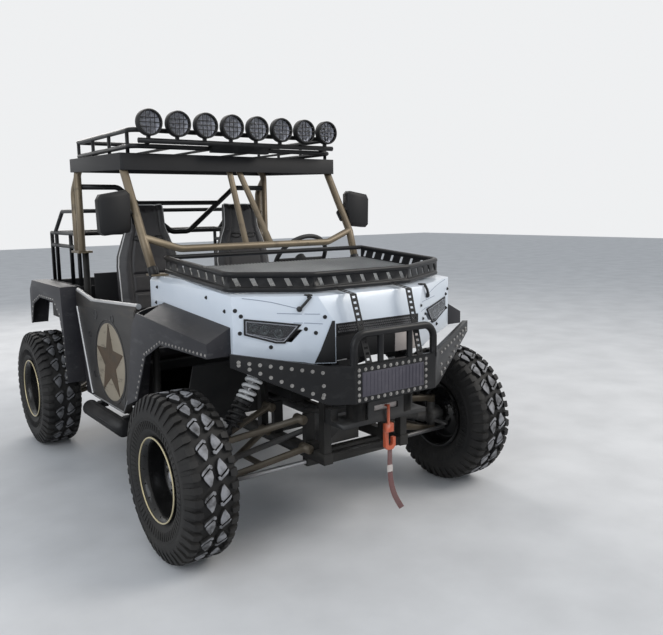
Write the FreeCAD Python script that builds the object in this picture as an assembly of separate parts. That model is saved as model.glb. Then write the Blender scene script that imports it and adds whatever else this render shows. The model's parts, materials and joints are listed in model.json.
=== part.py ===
import FreeCAD, Part
import math
import os

# A side by side utility vehicle with two seats, a tube cage, a tipping cargo bed and long suspension arms.
# Millimetres. +Z is up, the vehicle drives towards -Y, and its left side is +X.
# The origin is on the ground in the middle of the vehicle's length and width.
# A station is a distance behind the front axle, so that at(0) is the front axle.

V = FreeCAD.Vector

# Wheels and axles
WHEELBASE = 2120.0
FRONT_AXLE_Y = -WHEELBASE / 2
TYRE_R = 375.0
TYRE_W = 245.0
TREAD_DEPTH = 16.0
TREAD_PITCHES = 22
TREAD_HALF = 92.0
TYRE_SIDES = 30
RIM_R = 191.0
RIM_W = 216.0
BEAD_R = 180.0
FRONT_TRACK_HALF = 830.0
REAR_TRACK_HALF = 815.0
KINGPIN_X = 700.0
SPINDLE_R = 28.0
SPINDLE_GAP = 0.1
HUB_R = 62.0
CARRIER_R = 46.0
LOWER_BALL_Z = 300.0
UPPER_BALL_Z = 470.0
EYE_R = 22.0
EYE_H = 36.0
EYE_GAP = 0.3

# Suspension
LOWER_PIVOT_Z = 430.0
UPPER_PIVOT_Z = 560.0
LOWER_PIVOT_REACH = 185.0
UPPER_PIVOT_REACH = 140.0
ARM_R = 16.0
ARM_DROP = 7.0
SHOCK_TOP_X = 400.0
SHOCK_TOP_Z = 800.0
SHOCK_LOW_X = 585.0
SHOCK_EYE_R = 16.0
REAR_SHOCK_TOP_Z = 685.0
SPRING_R = 42.0
STEER_ARM = 105.0
STEER_ARM_Z = 350.0
STEER_ARM_T = 16.0
TIE_ROD_R = 11.0

# Frame
RAIL_X = 230.0
RAIL_W = 50.0
RAIL_Z = 370.0
RAIL_H = 50.0
FRAME_FRONT = -300.0
FRAME_REAR = WHEELBASE + 360.0
SILL_X = 640.0
SILL_R = 22.0
FRAME_TOP_Z = 850.0
COWL_POST_X = 598.0
COWL_POST_S = 640.0
DOOR_POST_X = 618.0
DOOR_POST_S = 716.0
TOWER_R = 20.0
REAR_POST_X = 632.0
REAR_POST_S = WHEELBASE - 380.0
REAR_POST_TOP = 1280.0
BED_RAIL_X = 300.0
BED_RAIL_Z = 735.0

# Body
SHEET = 6.0
SEAT_GAP = 0.3
BODY_X = 640.0
NOSE_S = -385.0
NOSE_X = 245.0
CHEEK_X = 360.0
CHEEK_S = -310.0
CORNER_S = -185.0
BODY_REAR_S = 690.0
NOSE_TOP_Z = 1157.0
HOOD_MID_S = 357.0
HOOD_MID_Z = 1206.0
COWL_Z = 1205.0
GRILLE_TOP_Z = 1036.0
GRILLE_LOW_Z = 885.0
BODY_LOW_Z = 905.0

# Cage, roof and racks
TUBE_R = 22.0
PILLAR_X = 665.0
PILLAR_TOP_S = 952.0
CROSSBAR_S = 660.0
CROSSBAR_Z = 1335.0
ROOF_X = 692.0
ROOF_FRONT_S = 873.0
ROOF_REAR_S = REAR_POST_S + 5.0
ROOF_FRONT_TOP = 1838.0
ROOF_REAR_TOP = ROOF_FRONT_TOP + 18.0
ROOF_FRONT_LOW = ROOF_FRONT_TOP - 90.0
ROOF_REAR_LOW = ROOF_REAR_TOP - 80.0
HOOP_X = 664.0
HOOP_S = REAR_POST_S - 40.0
HOOP_BACK_S = HOOP_S + 86.0
RACK_RAIL_R = 13.0
RACK_X = 640.0
RACK_LOW_Z = ROOF_REAR_TOP + 16.0
RACK_TOP_Z = RACK_LOW_Z + 83.0
LAMP_R = 69.0
LAMP_X = 564.5
LAMP_COUNT = 8
LAMP_S = 788.0
LAMP_Z = RACK_TOP_Z + 32.0

# Hood rack
TRAY_X = 621.0
TRAY_FRONT_X = 278.0
TRAY_FRONT_S = -274.0
TRAY_CORNER_S = -120.0
TRAY_REAR_S = 520.0
TRAY_WALL = 66.0
TRAY_FRONT_Z = 1180.0
TRAY_RISE = 0.070
TRAY_TUBE_R = 12.0

# Bumpers
BUMPER_S = -515.0
BUMPER_X = 235.0
BUMPER_CORNER_X = 330.0
BUMPER_CORNER_S = -444.0
WING_X = 700.0
WING_S = -270.0
BUMPER_LOW_Z = 700.0
BUMPER_TOP_Z = 868.0
WING_LOW_Z = 885.0
WING_TOP_Z = 942.0
WINCH_S = -385.0
DRUM_R = 38.0
DRUM_Z = 640.0
FAIRLEAD_S = -436.0
HOOK_S = -450.0
BUMPER_SHEET = 26.0
HITCH_S = FRAME_REAR + 155.0
HITCH_Z = 500.0
HITCH_SIDE = 64.0
HITCH_BORE = 51.0
HITCH_PIN_R = 8.0

# Doors and side
DOOR_X = 710.0
DOOR_T = 34.0
DOOR_GAP = 8.0
DOOR_HINGE_S = 728.0
DOOR_PIN_R = 4.5
FLARE_X = 755.0
FLARE_T = 6.0
REAR_FLARE_X = 800.0
STEP_R = 48.0

# Cargo bed
BED_X = 650.0
BED_FRONT_S = WHEELBASE - 308.0
BED_REAR_S = WHEELBASE + 350.0
BED_FLOOR_Z = 800.0
BED_TOP_Z = 1062.0
BED_HINGE_S = WHEELBASE + 272.0
BED_HINGE_Z = 762.0
BED_PIN_R = 12.0
PIN_GAP = 0.1
GATE_PIN_R = 6.0
BED_POST_STATIONS = (WHEELBASE - 252.0, WHEELBASE + 247.0)
GATE_T = 28.0
GATE_S = BED_REAR_S + 2

# Seats and steering wheel
SEAT_X = 335.0
SEAT_W = 470.0
SEAT_BASE_Z = 690.0
SEAT_Z = SEAT_BASE_Z + SEAT_GAP
WHEEL_X = 360.0
WHEEL_S = 785.0
WHEEL_Z = 1232.0
WHEEL_R = 172.0
COLUMN_TILT = 35.0


def at(station):
    """Turn a station behind the front axle into a Y value."""
    return FRONT_AXLE_Y + station


def behind_rear_axle(outline):
    """An outline drawn from the rear axle, as stations behind the front one."""
    return [(WHEELBASE + station, z) for station, z in outline]


def box(x0, x1, s0, s1, z0, z1):
    """A plain block between two X values, two stations and two heights."""
    return Part.makeBox(x1 - x0, s1 - s0, z1 - z0, V(x0, at(s0), z0))


def polygon(points):
    """A flat face through the given points."""
    return Part.Face(Part.makePolygon(points + points[:1]))


def prism_x(outline, x0, x1):
    """Push an outline of (station, z) pairs from x0 to x1."""
    return polygon([V(x0, at(s), z) for s, z in outline]).extrude(V(x1 - x0, 0, 0))


def prism_y(outline, s0, s1):
    """Push an outline of (x, z) pairs from station s0 to s1."""
    return polygon([V(x, at(s0), z) for x, z in outline]).extrude(V(0, s1 - s0, 0))


def prism_z(outline, z0, z1):
    """Push an outline of (x, station) pairs from z0 to z1."""
    return polygon([V(x, at(s), z0) for x, s in outline]).extrude(V(0, 0, z1 - z0))


def point(x, station, z):
    """A point in space from its X, station and height."""
    return V(x, at(station), z)


def rod(start, end, radius):
    """A straight round bar between two points."""
    return Part.makeCylinder(radius, (end - start).Length, start, end - start)


def tube(points, radius, bend=70.0):
    """A round bar along straight runs joined by tangent arcs."""
    edges = []
    here = points[0]
    for before, corner, after in zip(points, points[1:], points[2:]):
        back = (before - corner).normalize()
        ahead = (after - corner).normalize()
        half_turn = (math.pi - back.getAngle(ahead)) / 2
        reach = min(bend * math.tan(half_turn), 0.45 * (before - corner).Length,
                    0.45 * (after - corner).Length)
        radius_here = reach / math.tan(half_turn)
        centre_way = (back + ahead).normalize()
        centre = corner + centre_way * (radius_here / math.cos(half_turn))
        enter, leave = corner + back * reach, corner + ahead * reach
        edges.append(Part.LineSegment(here, enter).toShape())
        edges.append(Part.Arc(enter, centre - centre_way * radius_here, leave).toShape())
        here = leave
    edges.append(Part.LineSegment(here, points[-1]).toShape())
    ring = Part.Wire([Part.makeCircle(radius, points[0], points[1] - points[0])])
    return Part.Wire(edges).makePipeShell([ring], True, False)


def weld(shapes):
    """Join shapes that run into each other to one solid, one by one if the joint step fails."""
    try:
        return shapes[0].multiFuse(shapes[1:]).removeSplitter()
    except Part.OCCError:
        whole = shapes[0]
        for other in shapes[1:]:
            whole = whole.fuse(other)
        return whole.removeSplitter()


def mirrored(shape):
    """The same piece on the other side of the vehicle."""
    return shape.mirror(V(0, 0, 0), V(1, 0, 0))


def both_sides(shape):
    """A piece and its mirror image, as two solids that don't touch."""
    return [shape, mirrored(shape)]


def save(node, solids):
    """Write one node's solids to its own file."""
    shape = solids[0] if len(solids) == 1 else Part.makeCompound(solids)
    shape.exportStep("parts/" + node + ".step")


def spun_x(outline, x, station, z):
    """Turn an outline of (offset along X, radius) pairs about an axle."""
    face = polygon([V(offset, 0, radius) for offset, radius in outline])
    solid = face.revolve(V(0, 0, 0), V(1, 0, 0), 360)
    return solid.translate(V(x, at(station), z)) or solid


def lug_ring(offset, scale, shift):
    """Points round the axle at one offset: flat lug tops with grooves between them."""
    points = []
    floor = TYRE_R - TREAD_DEPTH
    for pitch in range(TREAD_PITCHES):
        for part, radius in ((0.0, TYRE_R), (0.5, TYRE_R), (0.58, floor), (0.92, floor)):
            turn = 2 * math.pi * (pitch + part + shift) / TREAD_PITCHES
            points.append(V(offset, radius * scale * math.sin(turn), -radius * scale * math.cos(turn)))
    return points


def plain_ring(offset, radius):
    """Points of an even polygon round the axle whose flats lie at the radius."""
    turns = [2 * math.pi * index / TYRE_SIDES for index in range(TYRE_SIDES)]
    radius = radius / math.cos(math.pi / TYRE_SIDES)
    return [V(offset, radius * math.sin(turn), -radius * math.cos(turn)) for turn in turns]


def band(first, second):
    """Flat faces between two rings that have as many points."""
    count = len(first)
    return [polygon([first[i], first[(i + 1) % count], second[(i + 1) % count],
                     second[i]]) for i in range(count)]


def flat_ring(outer, inner):
    """A flat face between two outlines in one plane."""
    return polygon(outer).cut(polygon(inner)).Faces[0]


def half_tyre(side, shift):
    """Half a tyre in flat faces: a row of lugs, their ends down the shoulder, the sidewall and the bore."""
    half = TYRE_W / 2
    bead_half = RIM_W / 2 - 12
    middle, edge = lug_ring(0, 1.0, shift), lug_ring(side * TREAD_HALF, 1.0, shift)
    shoulder = lug_ring(side * half, 1.0 - 60 / TYRE_R, shift)
    wall = plain_ring(side * half, TYRE_R - 88)
    bead = plain_ring(side * bead_half, RIM_R + 2)
    seat_outer, seat_inner = plain_ring(side * bead_half, BEAD_R + SEAT_GAP), plain_ring(0,
                                                                                         BEAD_R + SEAT_GAP)
    faces = band(middle, edge) + band(edge, shoulder) + [flat_ring(shoulder, wall)] + band(wall, bead)
    faces += [flat_ring(bead, seat_outer)] + band(seat_outer, seat_inner) + [flat_ring(middle, seat_inner)]
    shell = Part.makeShell(faces)
    shell.sewShape()
    solid = Part.makeSolid(shell)
    if solid.Volume < 0:
        solid.reverse()
    return solid


def tyre(centre_x, station):
    """A wide lugged tyre: two rows of lugs, one half a pitch behind the other."""
    solid = weld([half_tyre(1, 0.0), half_tyre(-1, 0.5)])
    solid.translate(V(centre_x, at(station), TYRE_R))
    return solid


def rim(centre_x, station, side):
    """A deep dished rim: barrel with two lips, a disc set well inwards and a bored hub."""
    half = RIM_W / 2
    outline = [
        (half, RIM_R), (half, RIM_R - 8), (half - 14, BEAD_R - 14), (-10, BEAD_R - 30), (-22, 78),
        (22, HUB_R - 4), (22, SPINDLE_R + SPINDLE_GAP), (-58, SPINDLE_R + SPINDLE_GAP), (-58, HUB_R),
        (-34, 84), (-24, BEAD_R - 24), (-half + 4, BEAD_R - 8), (-half, BEAD_R), (-half, RIM_R),
        (-half + 11.7, RIM_R), (-half + 11.7, BEAD_R), (half - 11.7, BEAD_R), (half - 11.7, RIM_R)]
    outline = [(side * offset, radius) for offset, radius in outline]
    return spun_x(outline, centre_x, station, TYRE_R)


def knuckle():
    """The left steering knuckle between its two ball joints, with spindle and steering arm."""
    low = LOWER_BALL_Z + EYE_H / 2 + EYE_GAP
    high = UPPER_BALL_Z - EYE_H / 2 - EYE_GAP
    axle = point(KINGPIN_X, 0, TYRE_R)
    post = rod(point(KINGPIN_X, 0, low), point(KINGPIN_X, 0, high), EYE_R)
    carrier = rod(axle + V(-24, 0, 0), axle + V(52, 0, 0), CARRIER_R)
    spindle_end = FRONT_TRACK_HALF + 16
    spindle = rod(axle, V(spindle_end, axle.y, axle.z), SPINDLE_R)
    half_t = STEER_ARM_T / 2
    arm = box(KINGPIN_X - 14, KINGPIN_X + 14, -STEER_ARM - 14, 0, STEER_ARM_Z - half_t, STEER_ARM_Z + half_t)
    return weld([post, carrier, spindle, arm])


def pivot_eye(x, station, z, half_length=32.0):
    """A bushing that lies along the vehicle beside a frame rail."""
    return rod(point(x, station - half_length, z), point(x, station + half_length, z), EYE_R)


def a_arm(station, outer_x, ball_z, pivot_z, reach, share, drop=0.0):
    """One left A shaped arm from two pivots by the rail to its outer eye."""
    pivot_x = RAIL_X + RAIL_W / 2 + EYE_R + SEAT_GAP
    outer = point(outer_x, station, ball_z)
    pieces = [rod(outer - V(0, 0, EYE_H / 2), outer + V(0, 0, EYE_H / 2), EYE_R)]
    ends = []
    for way in (-1, 1):
        inner = point(pivot_x, station + way * reach, pivot_z)
        pieces.append(rod(inner, outer - V(0, 0, drop), ARM_R))
        pieces.append(pivot_eye(pivot_x, station + way * reach, pivot_z))
        ends.append(inner + (outer - V(0, 0, drop) - inner) * share)
    pieces.append(rod(ends[0], ends[1], ARM_R - 2))
    return weld(pieces)


def brace_share(outer_x):
    """How far along an upper arm its cross brace carries the shock."""
    pivot_x = RAIL_X + RAIL_W / 2 + EYE_R + SEAT_GAP
    return (SHOCK_LOW_X - pivot_x) / (outer_x - pivot_x)


def shock(station, outer_x, top_z):
    """A coil over shock between an upper arm's brace and the tower, its spring drawn as close rings."""
    arm_z = UPPER_PIVOT_Z + (UPPER_BALL_Z - UPPER_PIVOT_Z) * brace_share(outer_x)
    foot = point(SHOCK_LOW_X, station, arm_z + ARM_R - 2 + SHOCK_EYE_R + SEAT_GAP)
    top = point(SHOCK_TOP_X, station, top_z)
    axis = (top - foot).normalize()
    length = (top - foot).Length
    turns = 7
    low, high = 40.0, length - 34.0
    pitch = (high - low) / turns
    cap = SPRING_R + 4
    outline = [(0, 0), (0, 13), (low - 10, 13), (low - 10, cap), (low, cap)]
    for turn in range(turns):
        start = low + turn * pitch
        outline += [(start, 26), (start + 0.3 * pitch, 26), (start + 0.3 * pitch, SPRING_R),
                    (start + pitch, SPRING_R)]
    outline += [(high, cap), (high + 10, cap), (high + 10, 13), (length, 13), (length, 0)]
    face = polygon([V(radius, 0, along) for along, radius in outline])
    solid = face.revolve(V(0, 0, 0), V(0, 0, 1), 360)
    solid.Placement = FreeCAD.Placement(foot, FreeCAD.Rotation(V(0, 0, 1), axis))
    eyes = [rod(end - V(0, 19, 0), end + V(0, 19, 0), SHOCK_EYE_R) for end in (foot, top)]
    return weld([solid] + eyes)


def tie_rod_z():
    """The height of the rack bar, just under the knuckles' steering arms."""
    return STEER_ARM_Z - STEER_ARM_T / 2 - TIE_ROD_R - EYE_GAP


def tie_rods():
    """The rack bar and both tie rods, reaching under the knuckles' steering arms."""
    z = tie_rod_z()
    return rod(point(-KINGPIN_X, -STEER_ARM, z), point(KINGPIN_X, -STEER_ARM, z), TIE_ROD_R)


def cross_beam(half, station, low, high):
    """A square beam across the vehicle."""
    return box(-half, half, station - 20, station + 20, low, high)


def frame_low_side(side):
    """One side of the ladder frame: rail, sill and the outriggers that carry the bed's posts."""
    top = RAIL_Z + RAIL_H
    x = side * RAIL_X
    bed_x = side * BED_RAIL_X
    sill_z = top - SILL_R
    pieces = [box(x - RAIL_W / 2, x + RAIL_W / 2, FRAME_FRONT, FRAME_REAR, RAIL_Z, top)]
    for station in BED_POST_STATIONS:
        pieces.append(box(min(x, bed_x) - 20, max(x, bed_x) + 20, station - 20, station + 20, top - 40, top))
    pieces.append(rod(point(side * SILL_X, 700, sill_z), point(side * SILL_X, REAR_POST_S + 60, sill_z),
                      SILL_R))
    return pieces


def frame_low():
    """The welded ladder frame: rails, cross members, sills and the rack housing."""
    top = RAIL_Z + RAIL_H
    pieces = frame_low_side(-1) + frame_low_side(1)
    for station in (FRAME_FRONT + 25, 280, BED_POST_STATIONS[0], BED_POST_STATIONS[1], FRAME_REAR - 25):
        pieces.append(cross_beam(RAIL_X, station, RAIL_Z + 5, top - 5))
    for station in (760, 1260, REAR_POST_S):
        pieces.append(cross_beam(SILL_X, station, RAIL_Z + 8, top - 8))
    z = tie_rod_z()
    pieces.append(box(-RAIL_X, RAIL_X, -STEER_ARM - 20, -STEER_ARM + 20, z - 18, RAIL_Z + 5))
    return weld(pieces).cut(rod(point(-300, -STEER_ARM, z), point(300, -STEER_ARM, z), TIE_ROD_R + PIN_GAP))


def frame_high_side(side):
    """One side of the uprights: front tower, arm pivots, door post, rear post and bed rail."""
    top = RAIL_Z + RAIL_H
    x = side * RAIL_X
    bed_x = side * BED_RAIL_X
    sill_z = top - SILL_R
    post_r = SILL_R - 2
    pieces = []
    for station in (FRAME_FRONT + 25, 280):
        pieces.append(box(x - 20, x + 20, station - 20, station + 20, top - 5, FRAME_TOP_Z))
    pieces.append(box(x - 20, x + 20, FRAME_FRONT + 5, 300, FRAME_TOP_Z - 40, FRAME_TOP_Z))
    for axle in (0, WHEELBASE):
        for way in (-1, 1):
            low_s, high_s = axle + way * LOWER_PIVOT_REACH, axle + way * UPPER_PIVOT_REACH
            pieces.append(box(x - 25, x + 25, low_s - 25, low_s + 25, top - 5, LOWER_PIVOT_Z + 20))
            pieces.append(box(x - 25, x + 25, high_s - 15, high_s + 15, top - 5, UPPER_PIVOT_Z + 20))
    for station in BED_POST_STATIONS:
        pieces.append(box(bed_x - 20, bed_x + 20, station - 20, station + 20, top - 30, BED_RAIL_Z))
    pieces.append(box(bed_x - 20, bed_x + 20, REAR_POST_S - 40, BED_HINGE_S + 20, BED_RAIL_Z - 40,
                      BED_RAIL_Z))
    pieces.append(box(bed_x - 16, bed_x + 16, BED_HINGE_S - 20, BED_HINGE_S + 20, BED_RAIL_Z - 5,
                      BED_HINGE_Z + 14))
    pieces.append(tube([point(side * SILL_X, 740, sill_z), point(side * DOOR_POST_X, DOOR_POST_S, 520),
                        point(side * DOOR_POST_X, DOOR_POST_S, 1030),
                        point(side * COWL_POST_X, COWL_POST_S, COWL_Z - 35)], post_r))
    pad = side * COWL_POST_X
    pieces.append(box(pad - 17, pad + 17, COWL_POST_S - 20, COWL_POST_S + 20, COWL_Z - 50,
                      COWL_Z - SHEET - SEAT_GAP))
    pieces.append(rod(point(side * REAR_POST_X, REAR_POST_S, sill_z),
                      point(side * REAR_POST_X, REAR_POST_S, REAR_POST_TOP), post_r))
    hinge_x = side * (DOOR_X + 6)
    leaf = [side * (DOOR_POST_X + 10), side * (DOOR_X + 12)]
    pieces.append(box(min(leaf), max(leaf), DOOR_POST_S - 6, DOOR_HINGE_S + 4, 900, 979))
    pieces.append(rod(point(hinge_x, DOOR_HINGE_S, 858), point(hinge_x, DOOR_HINGE_S, 1022), DOOR_PIN_R))
    return pieces


def frame_high():
    """The uprights that stand on the ladder frame, with the bars across them, cut where they meet it."""
    pieces = frame_high_side(-1) + frame_high_side(1)
    lift = SHOCK_EYE_R + TOWER_R + SEAT_GAP
    for station, z in ((0, SHOCK_TOP_Z + lift), (WHEELBASE, REAR_SHOCK_TOP_Z + lift)):
        pieces.append(rod(point(-SHOCK_TOP_X - 30, station, z), point(SHOCK_TOP_X + 30, station, z),
                          TOWER_R))
    pieces.append(cross_beam(BED_RAIL_X, REAR_POST_S, BED_RAIL_Z - 40, BED_RAIL_Z))
    pieces.append(rod(point(-DOOR_POST_X, DOOR_POST_S, 884), point(DOOR_POST_X, DOOR_POST_S, 884), 18))
    pieces.append(rod(point(-BED_RAIL_X, BED_HINGE_S, BED_HINGE_Z),
                      point(BED_RAIL_X, BED_HINGE_S, BED_HINGE_Z), BED_PIN_R))
    standing = weld(pieces)
    return standing.cut(frame_low())


def floor_tub():
    """The floor pan with toe board, tunnel, seat base and the wall behind the seats."""
    top = RAIL_Z + RAIL_H + SEAT_GAP
    wall = 10.0
    back_s = REAR_POST_S - 50
    pan = box(-590, 590, 560, back_s, top, top + wall)
    toe = prism_x([(570, top), (560, top + wall), (420, 760), (412, 752), (552, top)], -550, 550)
    tunnel = box(-110, 110, 480, 1000, top, 600)
    base = box(-560, 560, 930, 1500, top, SEAT_BASE_Z)
    room_s = back_s - 185
    cuts = [box(side - 210, side + 210, 900, room_s - 15, top + wall, 640) for side in (-340, 340)]
    for cut in cuts:
        base = base.cut(cut)
    back = box(-600, 600, back_s, back_s + wall, top, 1150)
    channel = box(-75, 75, 400, room_s, top - 5, 560)
    hole = box(-50, 50, back_s - 10, back_s + 20, 440, 560)
    engine_room = box(-200, 200, room_s, back_s, top - 5, top + 15)
    return weld([pan, toe, tunnel, base, back]).cut(channel).cut(hole).cut(engine_room)


def front_form(inset):
    """The nose, hood and sides as one closed form, drawn in by the inset."""
    low = BODY_LOW_Z
    side = BODY_X - inset
    plan = [
        (-NOSE_X, NOSE_S + inset), (NOSE_X, NOSE_S + inset), (CHEEK_X, CHEEK_S + inset),
        (side, CORNER_S + inset),
        (side, BODY_REAR_S + inset), (-side, BODY_REAR_S + inset), (-side, CORNER_S + inset),
        (-CHEEK_X, CHEEK_S + inset)]
    height = 1300.0
    form = prism_z(plan, low - 60 - inset, height)
    profile = [
        (NOSE_S - 60, low - 80), (NOSE_S - 60, GRILLE_TOP_Z), (NOSE_S - 1 + inset, GRILLE_TOP_Z),
        (NOSE_S + 40 + inset, NOSE_TOP_Z - inset), (HOOD_MID_S, HOOD_MID_Z - inset),
        (BODY_REAR_S + 40, COWL_Z - inset), (BODY_REAR_S + 40, low - 80)]
    form = form.common(prism_x(profile, -BODY_X - 10, BODY_X + 10))
    shoulder = 16.0
    edge_z = 1178.0
    front = [
        (-side, low - 90), (-side, edge_z - inset), (-side + shoulder, COWL_Z - inset),
        (-side + 120, height + 20),
        (side - 120, height + 20), (side - shoulder, COWL_Z - inset), (side, edge_z - inset),
        (side, low - 90)]
    return form.common(prism_y(front, -500, 900))


def headlight_outline(grow):
    """The left headlight's slanted outline, grown by a clearance."""
    return [(362 - grow, 1012 + grow * 0.4), (584 + grow, 1071 + grow), (566 + grow, 990 - grow),
            (408 - grow, 960 - grow)]


def cheek_strip(outer, inner):
    """A slab that follows the cheek's face, from outer in front of it to inner behind it."""
    run_x, run_s = BODY_X - CHEEK_X, CORNER_S - CHEEK_S
    length = math.hypot(run_x, run_s)
    out_x, out_s = run_s / length, -run_x / length
    ends = []
    for along in (-0.25, 1.25):
        x, s = CHEEK_X + run_x * along, CHEEK_S + run_s * along
        ends.append(((x + out_x * outer, s + out_s * outer), (x - out_x * inner, s - out_s * inner)))
    return prism_z([ends[0][0], ends[1][0], ends[1][1], ends[0][1]], 900, 1200)


def front_body():
    """The white hood, nose and sides as a thin shell, open below and behind, with lamp and grille holes."""
    shell = front_form(0).cut(front_form(SHEET))
    lower = prism_x([(-600, 700), (-600, 862), (-330, 862), (-150, 925), (520, 935), (560, 1000),
                     (800, 1040), (800, 700)],
                    -BODY_X - 10, BODY_X + 10)
    shell = shell.cut(lower)
    shell = shell.cut(prism_y([(-NOSE_X + 4, 800), (-NOSE_X + 4, GRILLE_TOP_Z), (NOSE_X - 4, GRILLE_TOP_Z),
                               (NOSE_X - 4, 800)],
                              -500, -300))
    lamp = prism_y(headlight_outline(SEAT_GAP), -420, -100).common(cheek_strip(20, 40))
    for hole in both_sides(lamp):
        shell = shell.cut(hole)
    return shell


def headlight():
    """One left headlight that fills its hole in the cheek."""
    return prism_y(headlight_outline(0), -420, -100).common(cheek_strip(3, 60))


def grille():
    """The dark centre panel below the hood with its upright bars."""
    half = NOSE_X - 4 - SEAT_GAP
    panel = box(-half, half, NOSE_S + 4, NOSE_S + 24, GRILLE_LOW_Z, GRILLE_TOP_Z - SEAT_GAP)
    bars = [box(-half, half, NOSE_S - 2, NOSE_S + 6, z, z + 10) for z in (905, 935, 965)]
    return weld([panel] + bars)


def tray_z(station):
    """The height of the hood rack's floor at a station."""
    return TRAY_FRONT_Z + (station - TRAY_FRONT_S) * TRAY_RISE


def hood_rack():
    """The basket on the hood: two rims, slotted walls, floor bars and two braces down to the bumper."""
    corners = [(-TRAY_X, TRAY_REAR_S), (-TRAY_X, TRAY_CORNER_S), (-TRAY_FRONT_X, TRAY_FRONT_S),
               (TRAY_FRONT_X, TRAY_FRONT_S), (TRAY_X, TRAY_CORNER_S), (TRAY_X, TRAY_REAR_S)]
    pieces = []
    lean = -8.0
    for lift in (0, TRAY_WALL):
        pieces.append(tube([point(x, s, tray_z(s) + lift) for x, s in corners], TRAY_TUBE_R, 50))
        pieces.append(rod(point(-TRAY_X, TRAY_REAR_S, tray_z(TRAY_REAR_S) + lift),
                          point(TRAY_X, TRAY_REAR_S, tray_z(TRAY_REAR_S) + lift), TRAY_TUBE_R))
    for (x0, s0), (x1, s1) in zip(corners, corners[1:]):
        wall = polygon([point(x0, s0, tray_z(s0)), point(x1, s1, tray_z(s1)),
                        point(x1, s1, tray_z(s1) + TRAY_WALL), point(x0, s0, tray_z(s0) + TRAY_WALL)])
        side = (V(x1, at(s1), 0) - V(x0, at(s0), 0)).cross(V(0, 0, 1)).normalize()
        slab = wall.extrude(side * -4)
        run = math.hypot(x1 - x0, s1 - s0)
        count = max(2, round(run / 78))
        for index in range(count):
            share = (index + 0.5) / count
            middle = point(x0 + (x1 - x0) * share, s0 + (s1 - s0) * share,
                           tray_z(s0 + (s1 - s0) * share) + TRAY_WALL / 2)
            along = V(x1 - x0, s1 - s0, 0).normalize()
            slot = polygon([V(-lean - 11, -15, -17), V(11 - lean, -15, -17), V(11 + lean, -15, 17),
                            V(lean - 11, -15, 17)]).extrude(V(0, 30, 0))
            slot.Placement = FreeCAD.Placement(middle, FreeCAD.Rotation(V(1, 0, 0), along))
            slab = slab.cut(slot)
        pieces.append(slab)
    for index in range(1, 8):
        s = TRAY_FRONT_S + (TRAY_REAR_S - TRAY_FRONT_S) * index / 8
        widening = min(1.0, (s - TRAY_FRONT_S) / (TRAY_CORNER_S - TRAY_FRONT_S))
        half = TRAY_FRONT_X + (TRAY_X - TRAY_FRONT_X) * widening
        pieces.append(rod(point(-half, s, tray_z(s)), point(half, s, tray_z(s)), 6))
    for x in (-300, 0, 300):
        pieces.append(rod(point(x, TRAY_FRONT_S + 20, tray_z(TRAY_FRONT_S + 20)),
                          point(x, TRAY_REAR_S, tray_z(TRAY_REAR_S)), 6))
    for side in (-1, 1):
        start = point(side * 166, TRAY_FRONT_S, tray_z(TRAY_FRONT_S))
        end = point(side * 150, BUMPER_S + 20, BUMPER_TOP_Z + SEAT_GAP)
        middle = point(side * 162, NOSE_S - 18, 1162)
        half = V(side * 17, 0, 0)
        thick = V(0, -5, 0)
        for a, b in ((start, middle), (middle, end)):
            pieces.append(polygon([a - half, b - half, b + half, a + half]).extrude(thick))
    return weld(pieces)


def bumper():
    """The folded front bumper with tapering wings and the hoop on top of it."""
    outer = [(-WING_X, WING_S), (-BUMPER_CORNER_X, BUMPER_CORNER_S), (-BUMPER_X, BUMPER_S),
             (BUMPER_X, BUMPER_S), (BUMPER_CORNER_X, BUMPER_CORNER_S), (WING_X, WING_S)]
    inner = [(x * 0.985, s + BUMPER_SHEET) for x, s in reversed(outer)]
    strip = prism_z(outer + inner, BUMPER_LOW_Z - 20, WING_TOP_Z + 20)
    front = [(-WING_X, WING_TOP_Z), (-WING_X, WING_LOW_Z), (-BUMPER_CORNER_X, BUMPER_LOW_Z),
             (BUMPER_CORNER_X, BUMPER_LOW_Z), (WING_X, WING_LOW_Z), (WING_X, WING_TOP_Z),
             (BUMPER_CORNER_X, BUMPER_TOP_Z), (-BUMPER_CORNER_X, BUMPER_TOP_Z)]
    strip = strip.common(prism_y(front, BUMPER_S - 50, 100))
    pieces = [strip]
    for side in (-1, 1):
        pieces.append(box(side * 205 - 15, side * 205 + 15, BUMPER_S + 15, FRAME_FRONT + 5 - SEAT_GAP, 770,
                          840))
    hoop_s = BUMPER_S + 17
    hoop_x = 232.0
    hoop_z = 1000.0
    foot = BUMPER_TOP_Z - 20
    pieces.append(tube([point(-hoop_x, hoop_s, foot), point(-hoop_x, hoop_s, hoop_z),
                        point(hoop_x, hoop_s, hoop_z), point(hoop_x, hoop_s, foot)], 17, 60))
    for x in (-85, 85):
        pieces.append(rod(point(x, hoop_s, foot), point(x, hoop_s, hoop_z), 14))
    return weld(pieces)


def winch():
    """The winch behind the bumper, its mount and its fairlead."""
    back = FRAME_FRONT + 5 - SEAT_GAP
    pieces = [rod(point(-120, WINCH_S, DRUM_Z), point(120, WINCH_S, DRUM_Z), DRUM_R)]
    for side in (-1, 1):
        ends = sorted((side * 115, side * 160))
        legs = sorted((side * 205, side * 245))
        pieces.append(box(ends[0], ends[1], WINCH_S - 42, WINCH_S + 42, 585, 690))
        pieces.append(box(legs[0], legs[1], WINCH_S + 42, back, 570, 640))
    pieces.append(box(-245, 245, FAIRLEAD_S, back, 570, 590))
    pieces.append(box(-105, 105, FAIRLEAD_S, FAIRLEAD_S + 11, 585, 672))
    window = box(-70, 70, FAIRLEAD_S - 5, FAIRLEAD_S + 12, 622, 650)
    return weld(pieces).cut(window)


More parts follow.
